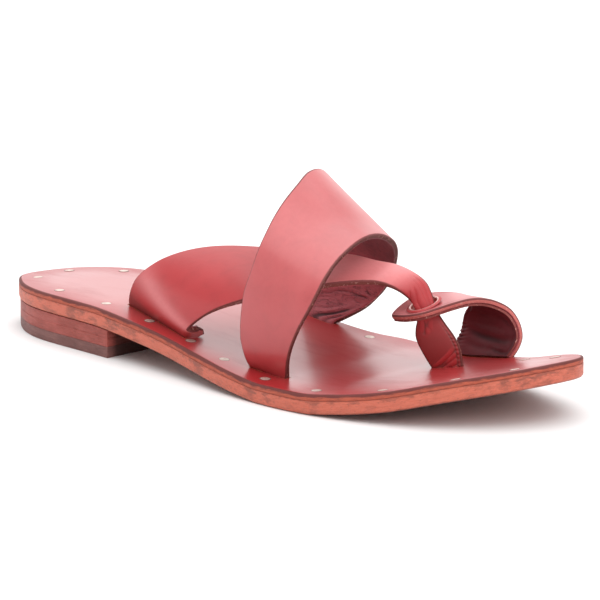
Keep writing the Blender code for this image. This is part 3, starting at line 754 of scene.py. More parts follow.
class Strap:
    """A strap's middle surface from its table, as grids of points with their own coordinates."""

    def __init__(self, table, rise, thickness, grid):
        self.table = table
        self.rise = rise
        self.thickness = thickness
        lines, columns = grid
        fine = np.linspace(0, len(table) - 1, MEASURES_A_ROW * len(table))
        middle = self.points(fine, np.full((len(fine), 1), 0.5))[:, 0]
        run = np.concatenate([[0], np.cumsum(np.linalg.norm(np.diff(middle, axis=0), axis=1))])
        self.length = run[-1]
        self.along = np.linspace(0, self.length, lines + 1)
        self.places = np.interp(self.along, run, fine)
        rows = along_rows(table, self.places)
        edges = self.points(self.places, np.tile([0.0, 1.0], (len(rows), 1)))
        self.widths = np.linalg.norm(edges[:, 1] - edges[:, 0], axis=1)
        self.share = self.columns(columns)
        self.rows = rows

    def columns(self, count):
        """Shares across each line: close together in the rounding at both edges."""
        near = np.array(EDGE_COLUMNS) * EDGE_ROUNDING
        inner = np.linspace(0, 1, count + 1 - 2 * (len(near) - 1))
        shares = []
        for width in self.widths:
            start = near[-1] / width
            middle = start + (1 - 2 * start) * inner
            shares.append(np.concatenate([near[:-1] / width, middle, 1 - near[:-1][::-1] / width]))
        return np.array(shares)

    def points(self, places, share):
        """Points at places along the table and shares across, with the strap's bow."""
        rows = along_rows(self.table, places)
        rear, front = rows[:, None, REAR], rows[:, None, FRONT]
        place = rear + (front - rear) * share[..., None]
        x = station(place[..., 0])
        y = place[..., 1] * sizes().ball_width
        z = insole_top(x) + place[..., 2] * self.rise
        grid = np.stack([x, y, z], axis=-1)
        if grid.shape[1] > 2:
            width = np.linalg.norm(grid[:, -1] - grid[:, 0], axis=1)
            bow = rows[:, CROWN] * width
            lift = bow[:, None] * (1 - (2 * share - 1) ** 2)
            grid = grid + self.normals(grid) * lift[..., None]
        return grid

    @staticmethod
    def normals(grid):
        """Unit outward normals of a grid of points."""
        along = np.gradient(grid, axis=0)
        across = np.gradient(grid, axis=1)
        normal = np.cross(across, along)
        return normal / np.linalg.norm(normal, axis=-1, keepdims=True)

    def spot(self, row, share):
        """Distances along and across at a row of the table and a share of the width."""
        width = np.interp(row, self.places, self.widths)
        return np.interp(row, self.places, self.along), share * width

    def across(self):
        """Distance from the rear edge, as a grid."""
        return self.share * self.widths[:, None]

    def from_edge(self, open_start=False):
        """Distance from the nearest cut edge, as a grid."""
        near = np.minimum(self.share, 1 - self.share) * self.widths[:, None]
        if open_start:
            near = np.minimum(near, self.along[:, None])
        return near

    def walls(self, open_start=False):
        """Half the wall at each point, rounded at the cut edges and oval where it is gathered."""
        roundness = self.rows[:, ROUND][:, None].clip(0, 1)
        oval = np.sqrt(np.clip(1 - (2 * self.share - 1) ** 2, 0, None)).clip(THIN_EDGE)
        wall = self.rows[:, WALL][:, None] * self.thickness * (1 - roundness + roundness * oval)
        near = (self.from_edge(open_start) / EDGE_ROUNDING).clip(0, 1)
        rounding = EDGE_WALL + (1 - EDGE_WALL) * np.sqrt(1 - (1 - near) ** 2)
        return wall * (rounding + (1 - rounding) * roundness) / 2


def add_sheet(name, strap, finishes, outer, inner, middle, painted_shade, open_start=False):
    """A leather sheet: a flat grid with a wall, laid in code on the strap's two sides.

    outer and inner are grids of distances from the middle surface along its normals, and the one
    after middle gives the painted shade of the outer and inner side, in creases and shaded places.
    """
    lines, columns = len(strap.along) - 1, strap.share.shape[1] - 1
    deselect()
    bpy.ops.mesh.primitive_grid_add(x_subdivisions=lines, y_subdivisions=columns, size=1)
    sheet = bpy.context.object
    sheet.name = name
    wall = sheet.modifiers.new("wall", "SOLIDIFY")
    wall.thickness = FLAT_WALL
    wall.material_offset = 1
    wall.material_offset_rim = 2
    for finish in finishes:
        sheet.data.materials.append(finish)
    apply_modifiers(sheet)

    mesh = sheet.data
    flat = np.empty(len(mesh.vertices) * 3)
    mesh.vertices.foreach_get("co", flat)
    flat = flat.reshape(-1, 3)
    i = np.rint((0.5 - flat[:, 0]) * lines).astype(int)
    k = np.rint((0.5 + flat[:, 1]) * columns).astype(int)
    is_outer = flat[:, 2] > -FLAT_WALL / 2
    normals = strap.normals(middle)
    places = np.where(is_outer[:, None],
                      middle[i, k] + normals[i, k] * outer[i, k][:, None],
                      middle[i, k] - normals[i, k] * inner[i, k][:, None])
    mesh.vertices.foreach_set("co", places.ravel())
    inwards = np.where(is_outer, 0, strap.thickness)
    lay = np.column_stack([strap.along[i], strap.across()[i, k], inwards])
    add_attribute(mesh, "lay", "FLOAT_VECTOR", lay)
    add_attribute(mesh, "rim", "FLOAT", strap.from_edge(open_start)[i, k])
    # Painted shade for each point, from the side it lies on
    folds = [np.broadcast_to(side, strap.share.shape)[i, k] for side in painted_shade]
    add_attribute(mesh, "painted_shade", "FLOAT", np.where(is_outer, *folds))
    mesh.update()
    smooth(sheet, 60)
    return sheet


def bell(place, middle, width):
    """1 at the middle, and falling smoothly to nothing on both sides of it."""
    return np.exp(-((place - middle) / width) ** 2)


def along_hill(place, start, full, last, end):
    """0 up to start, 1 from full to last, and 0 again from end on."""
    up = ((place - start) / (full - start)).clip(0, 1)
    down = ((end - place) / (end - last)).clip(0, 1)
    hill = up * down
    return hill * hill * (3 - 2 * hill)


def paint_sheen(sheet, strap, amount):
    """How much painted sheen a sheet gets, from a grid of amounts on its strap or one for each line."""
    grid = np.broadcast_to(amount, strap.share.shape)
    lay = np.empty(len(sheet.data.vertices) * 3, dtype=np.float32)
    sheet.data.attributes["lay"].data.foreach_get("vector", lay)
    lay = lay.reshape(-1, 3)
    lines = np.rint(lay[:, 0] / strap.along[-1] * (len(strap.along) - 1)).astype(int)
    shares = lay[:, 1] / strap.widths[lines]
    values = [np.interp(share, strap.share[line], grid[line]) for line, share in zip(lines, shares)]
    add_attribute(sheet.data, "pale_tone_and_sheen", "FLOAT", values)


def add_attribute(mesh, name, kind, values):
    """A value for each vertex, for the finishes to read."""
    attribute = mesh.attributes.new(name, kind, "POINT")
    key = "vector" if kind == "FLOAT_VECTOR" else "value"
    attribute.data.foreach_set(key, np.asarray(values, dtype=np.float32).ravel())


def add_ringed(name, rings, layers, finish, closed=False):
    """A body from a circle of edges that is extruded from ring to ring.

    layers holds, for each attribute, a list with a row of values for each ring. A closed body's last
    ring joins its first; otherwise the end rings have been drawn together, and merge.
    """
    count = len(rings[0])
    deselect()
    bpy.ops.mesh.primitive_circle_add(vertices=count, fill_type="NOTHING")
    body = bpy.context.object
    body.name = name
    body.data.materials.append(finish)
    order = body.data.attributes.new("order", "INT", "POINT")
    order.data.foreach_set("value", np.arange(count, dtype=np.int32))
    bpy.ops.object.mode_set(mode="EDIT")
    for number in range(len(rings)):
        if number:
            bpy.ops.mesh.extrude_region_move()
        mesh = bmesh.from_edit_mesh(body.data)
        turn = mesh.verts.layers.int["order"]
        for vertex in mesh.verts:
            if vertex.select:
                vertex[turn] = vertex[turn] % count + number * count
                vertex.co = rings[number][vertex[turn] % count]
        bmesh.update_edit_mesh(body.data)
    bpy.ops.object.mode_set(mode="OBJECT")
    places = np.empty(len(body.data.vertices), dtype=np.int32)
    body.data.attributes["order"].data.foreach_get("value", places)
    for key, rows in layers.items():
        values = np.array(rows, dtype=float)
        kind = "FLOAT_VECTOR" if values.ndim == 3 else "FLOAT"
        add_attribute(body.data, key, kind, values.reshape(-1, *values.shape[2:])[places])
    body.data.attributes.remove(body.data.attributes["order"])
    bpy.ops.object.mode_set(mode="EDIT")
    bpy.ops.mesh.select_all(action="SELECT")
    if closed:
        bpy.ops.mesh.select_all(action="DESELECT")
        bpy.ops.mesh.select_mode(type="EDGE")
        bpy.ops.mesh.select_non_manifold()
        bpy.ops.mesh.bridge_edge_loops()
        bpy.ops.mesh.select_mode(type="VERT")
        bpy.ops.mesh.select_all(action="SELECT")
    bpy.ops.mesh.remove_doubles(threshold=MERGED)
    bpy.ops.mesh.normals_make_consistent(inside=False)
    bpy.ops.object.mode_set(mode="OBJECT")
    return body


def finished(piece, slot, *nodes):
    """The piece rides on the sandal's one body, and stands for its nodes."""
    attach(piece, "root")
    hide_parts(*nodes)


def sole_layer(name, finish, top, bottom, side, interior, relief=None):
    """A layer of the sole as rings: the top from its middle line out, the side, and the bottom back.

    side lists (inset, depth as a share of the layer) from the top's rim to the bottom's rim, and
    interior is the number of rings on the top and on the bottom. relief is added to the top.
    """
    plan = plan_points()
    inwards = plan_inwards(plan)
    around = distance_round(plan)
    spine = spine_of(plan)
    shares = 1 - (1 - np.linspace(0, 1, interior)) ** RING_CROWDING
    top_edge = plan + inwards * side[0][0]
    bottom_edge = plan + inwards * side[-1][0]
    rings, lay, rim, low = [], [], [], []

    def add(flat, depth):
        height = top(flat[:, 0]) * (1 - depth) + bottom(flat[:, 0]) * depth
        if relief is not None and depth == 0:
            height = height + relief(flat[:, 0], flat[:, 1])
        rings.append(np.column_stack([flat, height]))
        thick = np.abs(top(flat[:, 0]) - bottom(flat[:, 0])) * depth
        lay.append(np.column_stack([around, np.zeros(len(flat)), thick]))
        low.append(np.full(len(flat), 1 - depth))
        rim.append(np.linalg.norm(flat - plan, axis=1) * (depth == 0))

    for share in shares:
        add(spine + (top_edge - spine) * share, 0)
    for inset, depth in side[1:]:
        add(plan + inwards * inset, depth)
    for share in shares[::-1][1:]:
        add(spine + (bottom_edge - spine) * share, 1)
    return add_ringed(name, rings, {"lay": lay, "rim": rim, "low": low}, finish)


def spine_of(plan):
    """For each point of the plan, the nearest point of the sole's middle line."""
    low, high = plan[:, 0].min(), plan[:, 0].max()
    reach = sizes().ball_width * SPINE_END
    x = np.clip(plan[:, 0], low + reach, high - reach)
    stations = np.linspace(low + reach, high - reach, SPINE_PLACES)
    middle = []
    for place in stations:
        sides = []
        for start, end in zip(plan, np.roll(plan, -1, axis=0)):
            if min(start[0], end[0]) <= place < max(start[0], end[0]):
                sides.append(start[1] + (end[1] - start[1]) * (place - start[0]) / (end[0] - start[0]))
        middle.append((min(sides) + max(sides)) / 2)
    return np.column_stack([x, np.interp(x, stations, middle)])


def slot_cutters(name, table, thickness):
    """A strap's feet, a little larger, as cutters for their slots in the insole."""
    insole = sizes().insole
    cutters = []
    for end, row in enumerate((table[0], table[-1])):
        if row[2] != 0:
            continue
        rear = Vector((station(row[0]), row[1] * sizes().ball_width, 0))
        front = Vector((station(row[3]), row[4] * sizes().ball_width, 0))
        along = front - rear
        spread = along.length / 2 + SLOT_ROOM - GATHERED_LENGTH * row[ROUND]
        wall = thickness * row[WALL] / 2 + SLOT_ROOM - GATHERED_WIDTH * row[ROUND]
        middle = (rear + front) / 2
        top = float(insole_top(np.array([middle.x]))[0])
        height = top + (CUTTER_OVER - insole - CUTTER_UNDER) / 2
        deselect()
        bpy.ops.mesh.primitive_cube_add(size=1, location=(middle.x, middle.y, height))
        box = bpy.context.object
        box.scale = (2 * spread, 2 * wall, insole + CUTTER_OVER + CUTTER_UNDER)
        box.rotation_euler = (0, 0, math.atan2(along.y, along.x))
        box.name = f"{name}_slot_{end}"
        cutters.append(box)
    return cutters


def cut_with(thing, cutters):
    """Cuts each of the cutters out of a piece, then removes them."""
    for cutter in cutters:
        modifier = thing.modifiers.new(cutter.name, "BOOLEAN")
        modifier.operation = "DIFFERENCE"
        modifier.solver = "EXACT"
        modifier.object = cutter
    apply_modifiers(thing)
    for cutter in cutters:
        bpy.data.objects.remove(cutter)


class SANDAL_OT_sole(bpy.types.Operator):
    """Makes the outsole and the insole with its slots"""

    bl_idname = "sandal.sole"
    bl_label = "Sole"

    def execute(self, context):
        tones = colours()
        raw = raw_leather("raw leather", tones.raw, tones.raw_dark)
        side = ((0.0003, 0.0), (0.0001, 0.01), (0.0, 0.03), (0.0, 0.2), (0.0, 0.4), (0.0, 0.6),
                (0.0, 0.78), (0.0002, 0.88), (0.0006, 0.96), (0.0013, 1.0))
        outsole = sole_layer("outsole_leather", raw, outsole_top, underside, side, 14)
        smooth(outsole, 50)
        finished(outsole, "raw_leather", "outsole")

        def bottom(x):
            return outsole_top(x) + SKIN

        def wavy(x, y):
            return 0.00010 * soft_noise(x, y, 0.045, 3)

        polish = insole_leather("polished insole", tones.insole, tones.insole_light, tones.insole_edge,
                                tones.raw)
        side = ((0.0012, 0.0), (0.0007, 0.03), (0.00035, 0.10), (0.00012, 0.22), (0.00005, 0.4),
                (0.00005, 0.7), (0.00008, 0.95), (0.0002, 1.0))
        insole = sole_layer("insole_leather", polish, insole_top, bottom, side, 22, wavy)
        cutters = slot_cutters("instep", INSTEP_STRAP, sizes().strap)
        cutters += slot_cutters("cross", CROSS_STRAP, sizes().strap)
        cutters += slot_cutters("loop", TOE_LOOP, sizes().loop)
        cut_with(insole, cutters)
        smooth(insole, 50)
        finished(insole, "insole_leather", "insole")
        return {"FINISHED"}


class SANDAL_OT_heel(bpy.types.Operator):
    """Makes the stacked heel and the lift under it"""

    bl_idname = "sandal.heel"
    bl_label = "Heel"

    def execute(self, context):
        tones = colours()
        breast = station(0) + sizes().heel_length
        plan = plan_points()
        plan = plan + plan_inwards(plan) * HEEL_INSET
        keep = plan[:, 0] < breast
        start = int(np.argmax(keep & ~np.roll(keep, 1)))
        curve = np.roll(plan, -start, axis=0)[:int(keep.sum())]
        curve = np.vstack([(breast, curve[0, 1]), curve, (breast, curve[-1, 1])])
        line = np.linspace(curve[-1], curve[0], BREAST_POINTS)[1:-1]
        outline = np.vstack([curve, line])
        around = distance_round(outline)
        # The breast, under the arch, gets painted shade: darker than the round side
        breast_shade = (np.arange(len(outline)) > len(curve)).astype(float)
        centre = np.array([[breast - sizes().heel_length / 2, 0.0]])

        def block(name, finish, top, bottom, side):
            """A layer of the heel; side lists (share of the outline, depth) between its two rims."""
            flat_shares = (0, 0.4, 0.8, 1)
            shape = [(share, 0.0) for share in flat_shares] + side
            shape += [(share, 1.0) for share in reversed(flat_shares)]
            rings, lay = [], []
            for share, depth in shape:
                flat = centre + (outline - centre) * share
                height = top(flat[:, 0]) * (1 - depth) + bottom(flat[:, 0]) * depth
                rings.append(np.column_stack([flat, height]))
                thick = np.full(len(flat), BLOCK_LAY * depth)
                lay.append(np.column_stack([around, np.zeros(len(flat)), thick]))
            thing = add_ringed(name, rings, {"lay": lay, "shade": [breast_shade] * len(rings)}, finish)
            soften = thing.modifiers.new("worn", "BEVEL")
            soften.width = 0.0005
            soften.segments = 3
            soften.limit_method = "ANGLE"
            soften.angle_limit = math.radians(50)
            apply_modifiers(thing)
            smooth(thing, 40)
            return thing

        stacked = stacked_leather("stacked leather", tones.stack, STACK_FLECKS_AND_SHADE)
        seam = [(1, 0.46), (1 - SEAM_DEPTH, 0.48), (1, 0.50)]
        stack = block("stacked_heel", stacked, lambda x: underside(x) - SKIN,
                      lambda x: np.full(len(x), sizes().lift + SKIN), seam)
        finished(stack, "stacked_leather", "heel_stack")
        burnished = stacked_leather("heel lift", tones.lift, LIFT_FLECKS_AND_SHADE)
        lift = block("heel_top_piece", burnished, lambda x: np.full(len(x), sizes().lift),
                     lambda x: np.zeros(len(x)), [(1, 0.5)])
        finished(lift, "heel_lift", "heel_lift")
        return {"FINISHED"}


# Creases of each strap: start row and share, end row and share, bend, depth and width in mm
INSTEP_WRINKLES = (
    (17.90, 0.10, 17.62, 0.42, 0.5, 0.35, 0.45),
    (17.62, 0.38, 17.30, 0.72, -0.7, 0.45, 0.50),
    (17.32, 0.66, 17.20, 0.95, 0.4, 0.60, 0.55),
    (16.78, 0.80, 17.05, 0.95, 0.5, 0.65, 0.60),
    (16.95, 0.62, 17.10, 0.80, -0.3, 0.30, 0.35),
    (17.35, 0.15, 17.15, 0.50, 0.6, 0.22, 0.40),
    (17.90, 0.56, 18.10, 0.72, 0.8, 0.35, 0.40),
    (18.10, 0.20, 17.92, 0.46, -0.5, 0.22, 0.40),
    (18.52, 0.34, 18.22, 0.70, 0.6, 0.30, 0.45),
    (18.35, 0.10, 18.30, 0.36, 0.4, 0.22, 0.40),
    (17.60, 0.74, 17.75, 0.92, 0.5, 0.40, 0.45),
    (18.95, 0.50, 18.20, 0.90, 0.9, 0.95, 0.90),
    (19.05, 0.74, 18.45, 0.97, 0.5, 0.80, 0.60),
)
LOOP_FOLDS = (
    (10.60, 0.10, 11.60, 0.88, 1.0, 0.55, 1.60),
    (11.60, 0.12, 12.30, 0.70, 0.8, 0.35, 1.30),
    (9.20, 0.70, 10.40, 0.90, -0.6, 0.30, 1.20),
    (12.20, 0.60, 12.70, 0.95, 0.4, 0.45, 0.90),
    (8.60, 0.20, 9.40, 0.60, 0.5, 0.20, 1.20),
)
CROSS_GATHERS = (
    (15.40, 0.28, 17.60, 0.32, 0.4, 0.60, 0.50),
    (15.90, 0.58, 17.90, 0.55, -0.3, 0.65, 0.50),
    (16.00, 0.80, 18.00, 0.72, -0.3, 0.50, 0.48),
    (16.30, 0.44, 17.90, 0.44, 0.2, 0.40, 0.40),
    (18.20, 0.62, 19.60, 0.70, 0.2, 0.26, 0.50),
    (18.30, 0.45, 19.20, 0.54, -0.2, 0.20, 0.42),
    (22.05, 0.90, 21.05, 0.12, -0.4, 0.45, 0.50),
    (22.15, 0.72, 21.30, 0.10, -0.3, 0.38, 0.44),
    (22.25, 0.45, 21.75, 0.08, 0.2, 0.22, 0.40),
)


class SANDAL_OT_instep_strap(bpy.types.Operator):
    """Makes the wide strap that stands over the instep"""

    bl_idname = "sandal.instep_strap"
    bl_label = "Instep strap"

    def execute(self, context):
        tones = colours()
        strap = Strap(INSTEP_STRAP, sizes().instep_rise, sizes().strap, INSTEP_GRID)
        grain = grain_leather("strap leather", tones.strap, tones.strap_light, tones.cut_edge)
        flesh = flesh_leather("strap flesh side", tones.flesh, FLESH_FOLD_SHADE)
        edge = edge_leather("strap cut edge", tones.cut_edge, INSTEP_FIBRES, 0.7)
        middle = strap.points(strap.places, strap.share)
        along, across = strap.along[:, None], strap.across()
        wave = 0.00022 * soft_noise(along, across, 0.034, 11)
        wall = strap.walls()
        # The inner side's wrinkles, and painted shade in them and under the strap's crest
        wrinkles = 0.62 * crease_height(strap, INSTEP_WRINKLES)
        rough = 0.00005 * soft_noise(along, across, 0.006, 12)
        inner = wall + wrinkles + rough
        place = strap.places[:, None]
        gloom = 0.55 * along_hill(place, 8.0, 10.0, 14.5, 16.8)
        painted_shade = (0.0, (gloom - wrinkles / 0.0004).clip(0, 1))
        middle = middle + strap.normals(middle) * wave[..., None]
        sink_feet(middle, 0, -1)
        piece = add_sheet("instep_strap", strap, (grain, flesh, edge), wall, inner, middle, painted_shade)
        # Painted sheen over the strap's top and towards its crest
        paint_sheen(piece, strap, 0.24 * along_hill(place, 1, 7.5, 13.5, 17)
            + 0.30 * along_hill(place, 9.5, 12, 14, 16))
        finished(piece, "strap_leather", "upper")
        return {"FINISHED"}


def sink_feet(middle, *lines):
    """Runs the strap's ends down into the insole's slots."""
    for line in lines:
        middle[line, :, 2] -= FOOT_DEPTH * sizes().insole


def curl_fade(places):
    """1 at the curled foot, and 0 from the row where the curl has run out."""
    return (1 - places / CURL_ROWS).clip(0, 1)


def curl_reach(places):
    """How far the curled margin reaches past the strap's front edge, at places along its table."""
    return CURL_REACH * curl_fade(places) ** 0.8


def curled(strap, columns):
    """The strap's middle surface, with its front margin rolled inwards at its first foot.

    The strap gets the widths and columns that take the margin in.
    """
    width = strap.widths.copy()
    share = strap.share
    base = strap.points(strap.places, share)
    strap.widths = width + curl_reach(strap.places)
    strap.share = strap.columns(columns)
    reach = strap.across()
    flat = np.minimum(reach, (width - CURL_RADIUS)[:, None])
    middle = np.empty((*flat.shape, 3))
    for line in range(len(width)):
        for axis in range(3):
            middle[line, :, axis] = np.interp(flat[line] / width[line], share[line], base[line, :, axis])
    rounding = -len(EDGE_COLUMNS)
    inwards = -strap.normals(base)[:, rounding][:, None, :]
    outwards = base[:, -1] - base[:, rounding]
    outwards = (outwards / np.linalg.norm(outwards, axis=1)[:, None])[:, None, :]
    turn = (CURL_TURN * np.minimum(1, CURL_HOLD * curl_fade(strap.places)))[:, None]
    past = reach - flat
    bend = np.minimum(past, CURL_RADIUS * turn)
    rest = past - bend
    angle = bend / CURL_RADIUS
    forward = CURL_RADIUS * np.sin(angle) + rest * np.cos(turn)
    inward = CURL_RADIUS * (1 - np.cos(angle)) + rest * np.sin(turn)
    return middle + outwards * forward[..., None] + inwards * inward[..., None]


class SANDAL_OT_cross_strap(bpy.types.Operator):
    """Makes the diagonal strap, gathered through the grommet into its thong"""

    bl_idname = "sandal.cross_strap"
    bl_label = "Diagonal strap and thong"

    def execute(self, context):
        tones = colours()
        strap = Strap(CROSS_STRAP, sizes().cross_rise, sizes().strap, CROSS_GRID)
        grain = grain_leather("diagonal strap leather", tones.cross, tones.cross_light, tones.cut_edge,
                              roughness=0.44, coat=0.12, shine=0.35)
        flesh = bpy.data.materials["strap flesh side"]
        # The cut edge is a lighter copy of the straps' one: painted light on an edge that lies in shade
        edge = edge_leather("diagonal strap cut edge", tinted(tones.cut_edge, 1.6), CROSS_FIBRES, 0.6)
        middle = curled(strap, CROSS_GRID[1])
        along, across = strap.along[:, None], strap.across()
        wave = 0.00016 * soft_noise(along, across, 0.034, 21)
        place = strap.places[:, None]
        gathers = crease_height(strap, CROSS_GATHERS) * (strap.from_edge() / 0.0015).clip(0, 1)
        # The thong's seam from below the grommet down: puckers on its edge, and a groove beside them
        low = ((place - 18.4) / 2).clip(0, 1)
        pucker = 0.00014 * low * bell(across, 0.0009, 0.0006) * np.sin(2 * np.pi * along / 0.0014)
        groove = -0.00014 * low * bell(across, 0.0014, 0.00024)
        wall = strap.walls()
        outer = wall + pucker + groove
        middle = middle + strap.normals(middle) * (wave + gathers)[..., None]
        sink_feet(middle, 0, -1)
        # Painted shade down the thong, low on the outer leg up to a pale streak across the strap, and in
        # the gathers and the groove
        dim = 0.58 * ((place - 16.2) / 4.0).clip(0, 1)
        streak = 3.9 - 2.2 * strap.share
        dusk = 0.7 * ((streak - 1.1 - place) / 1.2).clip(0, 1)
        painted_shade = ((dim + dusk - gathers / 0.0003 - groove / 0.0003).clip(0, 1), dim)
        piece = add_sheet("cross_strap", strap, (grain, flesh, edge), outer, wall, middle, painted_shade)
        # Painted light: on the shaded part beside the instep strap, as a highlight streak, and on the
        # flap
        pale_tone_and_sheen = along_hill(place, 9.3, 10.2, 14.4, 16.2) * (1 - 0.35 * strap.share)
        pale_tone_and_sheen += (0.36 + 0.45 * strap.share) * bell(place, streak, 0.75)
        flap = curl_reach(place)
        pale_tone_and_sheen += 0.7 * ((across - strap.widths[:, None] + flap) / 0.001).clip(0, 1) * (flap > 0)
        paint_sheen(piece, strap, pale_tone_and_sheen)
        finished(piece, "strap_leather", "upper")
        return {"FINISHED"}


class SANDAL_OT_toe_loop(bpy.types.Operator):
    """Makes the toe loop's outer leather and its lining"""

    bl_idname = "sandal.toe_loop"
    bl_label = "Toe loop"

    def execute(self, context):
        tones = colours()
        centre, axis = grommet_place()
        strap = Strap(TOE_LOOP, sizes().loop_rise, sizes().loop, LOOP_GRID)
        grain = grain_leather("toe loop leather", tones.strap, tones.strap_light, tones.cut_edge)
        flesh = bpy.data.materials["strap flesh side"]
        edge = edge_leather("toe loop cut edge", tones.loop_edge, LOOP_FIBRES, 0.6)
        hem = edge_leather("toe loop hem", tinted(tones.loop_edge, 0.5), HEM_FIBRES, 0.8)
        lining = grain_leather("toe loop lining", tones.lining, tinted(tones.lining, 1.8), LINING_SHADE_AND_RIM,
                               roughness=0.46, coat=0.03, shine=0.35)
        middle = strap.points(strap.places, strap.share)
        wall = strap.walls(True)
        place = strap.places[:, None]
        # A fine crease runs along the edges, but not over the foot's outer side; painted shade lies in
        # it
        seam = bell(strap.from_edge(True), 0.0016, 0.00022) * (1 - along_hill(place, 8, 10, 20, 21))
        painted_shade = ((0.7 * seam).clip(0, 1), 0.0)
        outer = add_sheet("toe_loop_leather", strap, (grain, flesh, edge), wall - 0.0001 * seam,
                          wall * LEATHER_SHARE, middle, painted_shade, open_start=True)
        # Painted sheen on the loop's tab and on its top
        paint_sheen(outer, strap, 0.75 * along_hill(place, -2, -1, 2.4, 4.2)
            + 0.35 * along_hill(place, 4.5, 5.5, 7.0, 8.5))
        self.bore(outer, centre, axis)
        finished(outer, "loop_leather", "toe_loop")

        under = Strap(TOE_LOOP, sizes().loop_rise, sizes().loop, LOOP_GRID)
        trim = LINING_TRIM / under.widths[:, None]
        under.share = trim + (1 - 2 * trim) * under.share
        middle = under.points(under.places, under.share)
        wall = under.walls()
        folds = crease_height(under, LOOP_FOLDS)
        along, across, place = under.along[:, None], under.across(), under.places[:, None]
        # The lining's folds, the crinkled part of its rear margin, and the groove along its hem, with
        # painted shade in the folds and the groove
        margin = bell(across, 0.0008, 0.0022) * along_hill(place, 9.5, 10.8, 12.2, 13.2)
        crinkle = 0.00030 * margin * np.sin(2 * np.pi * (along + 0.3 * across) / 0.0017)
        crinkle += 0.00025 * margin * soft_noise(along, across, 0.0022, 31)
        groove = -0.00018 * bell(under.from_edge(), 0.0018, 0.0003)
        dark = (-folds / 0.0006 - groove / 0.0003).clip(0, 1)
        inner = add_sheet("toe_loop_lining", under, (hem, lining, hem), -wall * LINING_SHARE,
                          wall + folds + crinkle + groove, middle, (dark, dark), open_start=True)
        # Painted highlights on the crinkled margin
        paint_sheen(inner, under, 0.20 * margin)
        self.bore(inner, centre, axis)
        finished(inner, "loop_leather", "toe_loop")
        return {"FINISHED"}

    @staticmethod
    def bore(thing, centre, axis):
        """Cuts the grommet's hole through a layer of the loop."""
        deselect()
        bpy.ops.mesh.primitive_cylinder_add(vertices=48, radius=sizes().bore / 2 + HOLE_ROOM,
                                            depth=HOLE_DEPTH, location=centre)
        drill = bpy.context.object
        drill.rotation_mode = "QUATERNION"
        drill.rotation_quaternion = axis.to_track_quat("Z", "Y")
        cut_with(thing, [drill])
        smooth(thing, 60)


def grommet_place():
    """Centre and axis of the grommet, on the toe loop's middle surface."""
    strap = Strap(TOE_LOOP, sizes().loop_rise, sizes().loop, (40, 16))
    step = 0.2
    places = np.array([GROMMET_SECTION - step, GROMMET_SECTION, GROMMET_SECTION + step])
    shares = np.tile(np.array([GROMMET_SHARE - step, GROMMET_SHARE, GROMMET_SHARE + step]), (3, 1))
    grid = strap.points(places, shares)
    normal = np.cross(grid[1, 2] - grid[1, 0], grid[2, 1] - grid[0, 1])
    return Vector(grid[1, 1]), Vector(normal).normalized()


class SANDAL_OT_grommet(bpy.types.Operator):
    """Makes the metal grommet in the toe loop"""

    bl_idname = "sandal.grommet"
    bl_label = "Grommet"

    def execute(self, context):
        tones = colours()
        plated = metal("grommet metal", tones.grommet, tinted(tones.grommet, 0.6), tones.strap,
                       roughness=0.28, metallic=0.85)
        centre, axis = grommet_place()
        bore, rim = sizes().bore / 2, sizes().rim / 2
        seat = sizes().loop / 2 + 0.0001
        barrel = bore + GROMMET_WALL
        profile = (
            (bore, -seat),
            (bore, 0.0),
            (bore, seat - 0.0002),
            (bore + 0.00005, seat + 0.0002),
            (bore + 0.0002, seat + 0.0004),
            (bore + 0.0005, seat + 0.0005),
            (bore + 0.0009, seat + 0.0004),
            (rim - 0.0003, seat + 0.0002),
            (rim, seat + 0.00005),
            (rim - 0.0001, seat - 0.00005),
            (barrel + 0.0001, seat - 0.00005),
            (barrel, seat - 0.0004),
            (barrel, -seat),
        )
        turn = axis.to_track_quat("Z", "Y")
        angles = np.linspace(0, 2 * math.pi, GROMMET_POINTS, endpoint=False)
        rings = []
        for radius, height in profile:
            rings.append([
                centre + turn @ Vector((radius * math.cos(a), radius * math.sin(a), height))
                for a in angles
            ])
        # Beyond the clean rim the flange takes the strap's red, a painted reflection of the leather
        leather_tinted = [np.full(len(angles), float(radius > bore + CLEAN_RIM)) for radius, _ in profile]
        ring = add_ringed("grommet_ring", rings, {"leather_tinted": leather_tinted}, plated, closed=True)
        smooth(ring, 50)
        finished(ring, "grommet_metal", "grommet")
        return {"FINISHED"}


class SANDAL_OT_nails(bpy.types.Operator):
    """Makes the nail heads along the insole's edge"""

    bl_idname = "sandal.nails"
    bl_label = "Nails"

    def execute(self, context):
        tones = colours()
        brass = metal("nail metal", tones.nail, tinted(tones.nail, 0.45), tones.insole_edge,
                      roughness=0.42, metallic=0.6)
        radius = sizes().nail / 2
        profile = ((0.0, 0.00020), (0.45, 0.00019), (0.75, 0.00015), (0.92, 0.00006), (1.0, -0.0001),
                   (1.0, -0.0010), (0.5, -0.0011), (0.0, -0.0011))
        angles = np.linspace(0, 2 * math.pi, NAIL_POINTS, endpoint=False)
        for number in range(1, NAILS + 1):
            node = f"nail_{number:02d}"
            low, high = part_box(node)
            x, y = (low.x + high.x) / 2, (low.y + high.y) / 2
            rings = []
            for share, height in profile:
                px = x + radius * share * np.cos(angles)
                py = y + radius * share * np.sin(angles)
                rings.append(np.column_stack([px, py, insole_top(px) + height]))
            leather_tinted = [np.full(len(angles), float(share > 0.9)) for share, _ in profile]
            head = add_ringed(node + "_head", rings, {"leather_tinted": leather_tinted}, brass)
            smooth(head, 50)
            finished(head, "nail_metal", node)
        return {"FINISHED"}


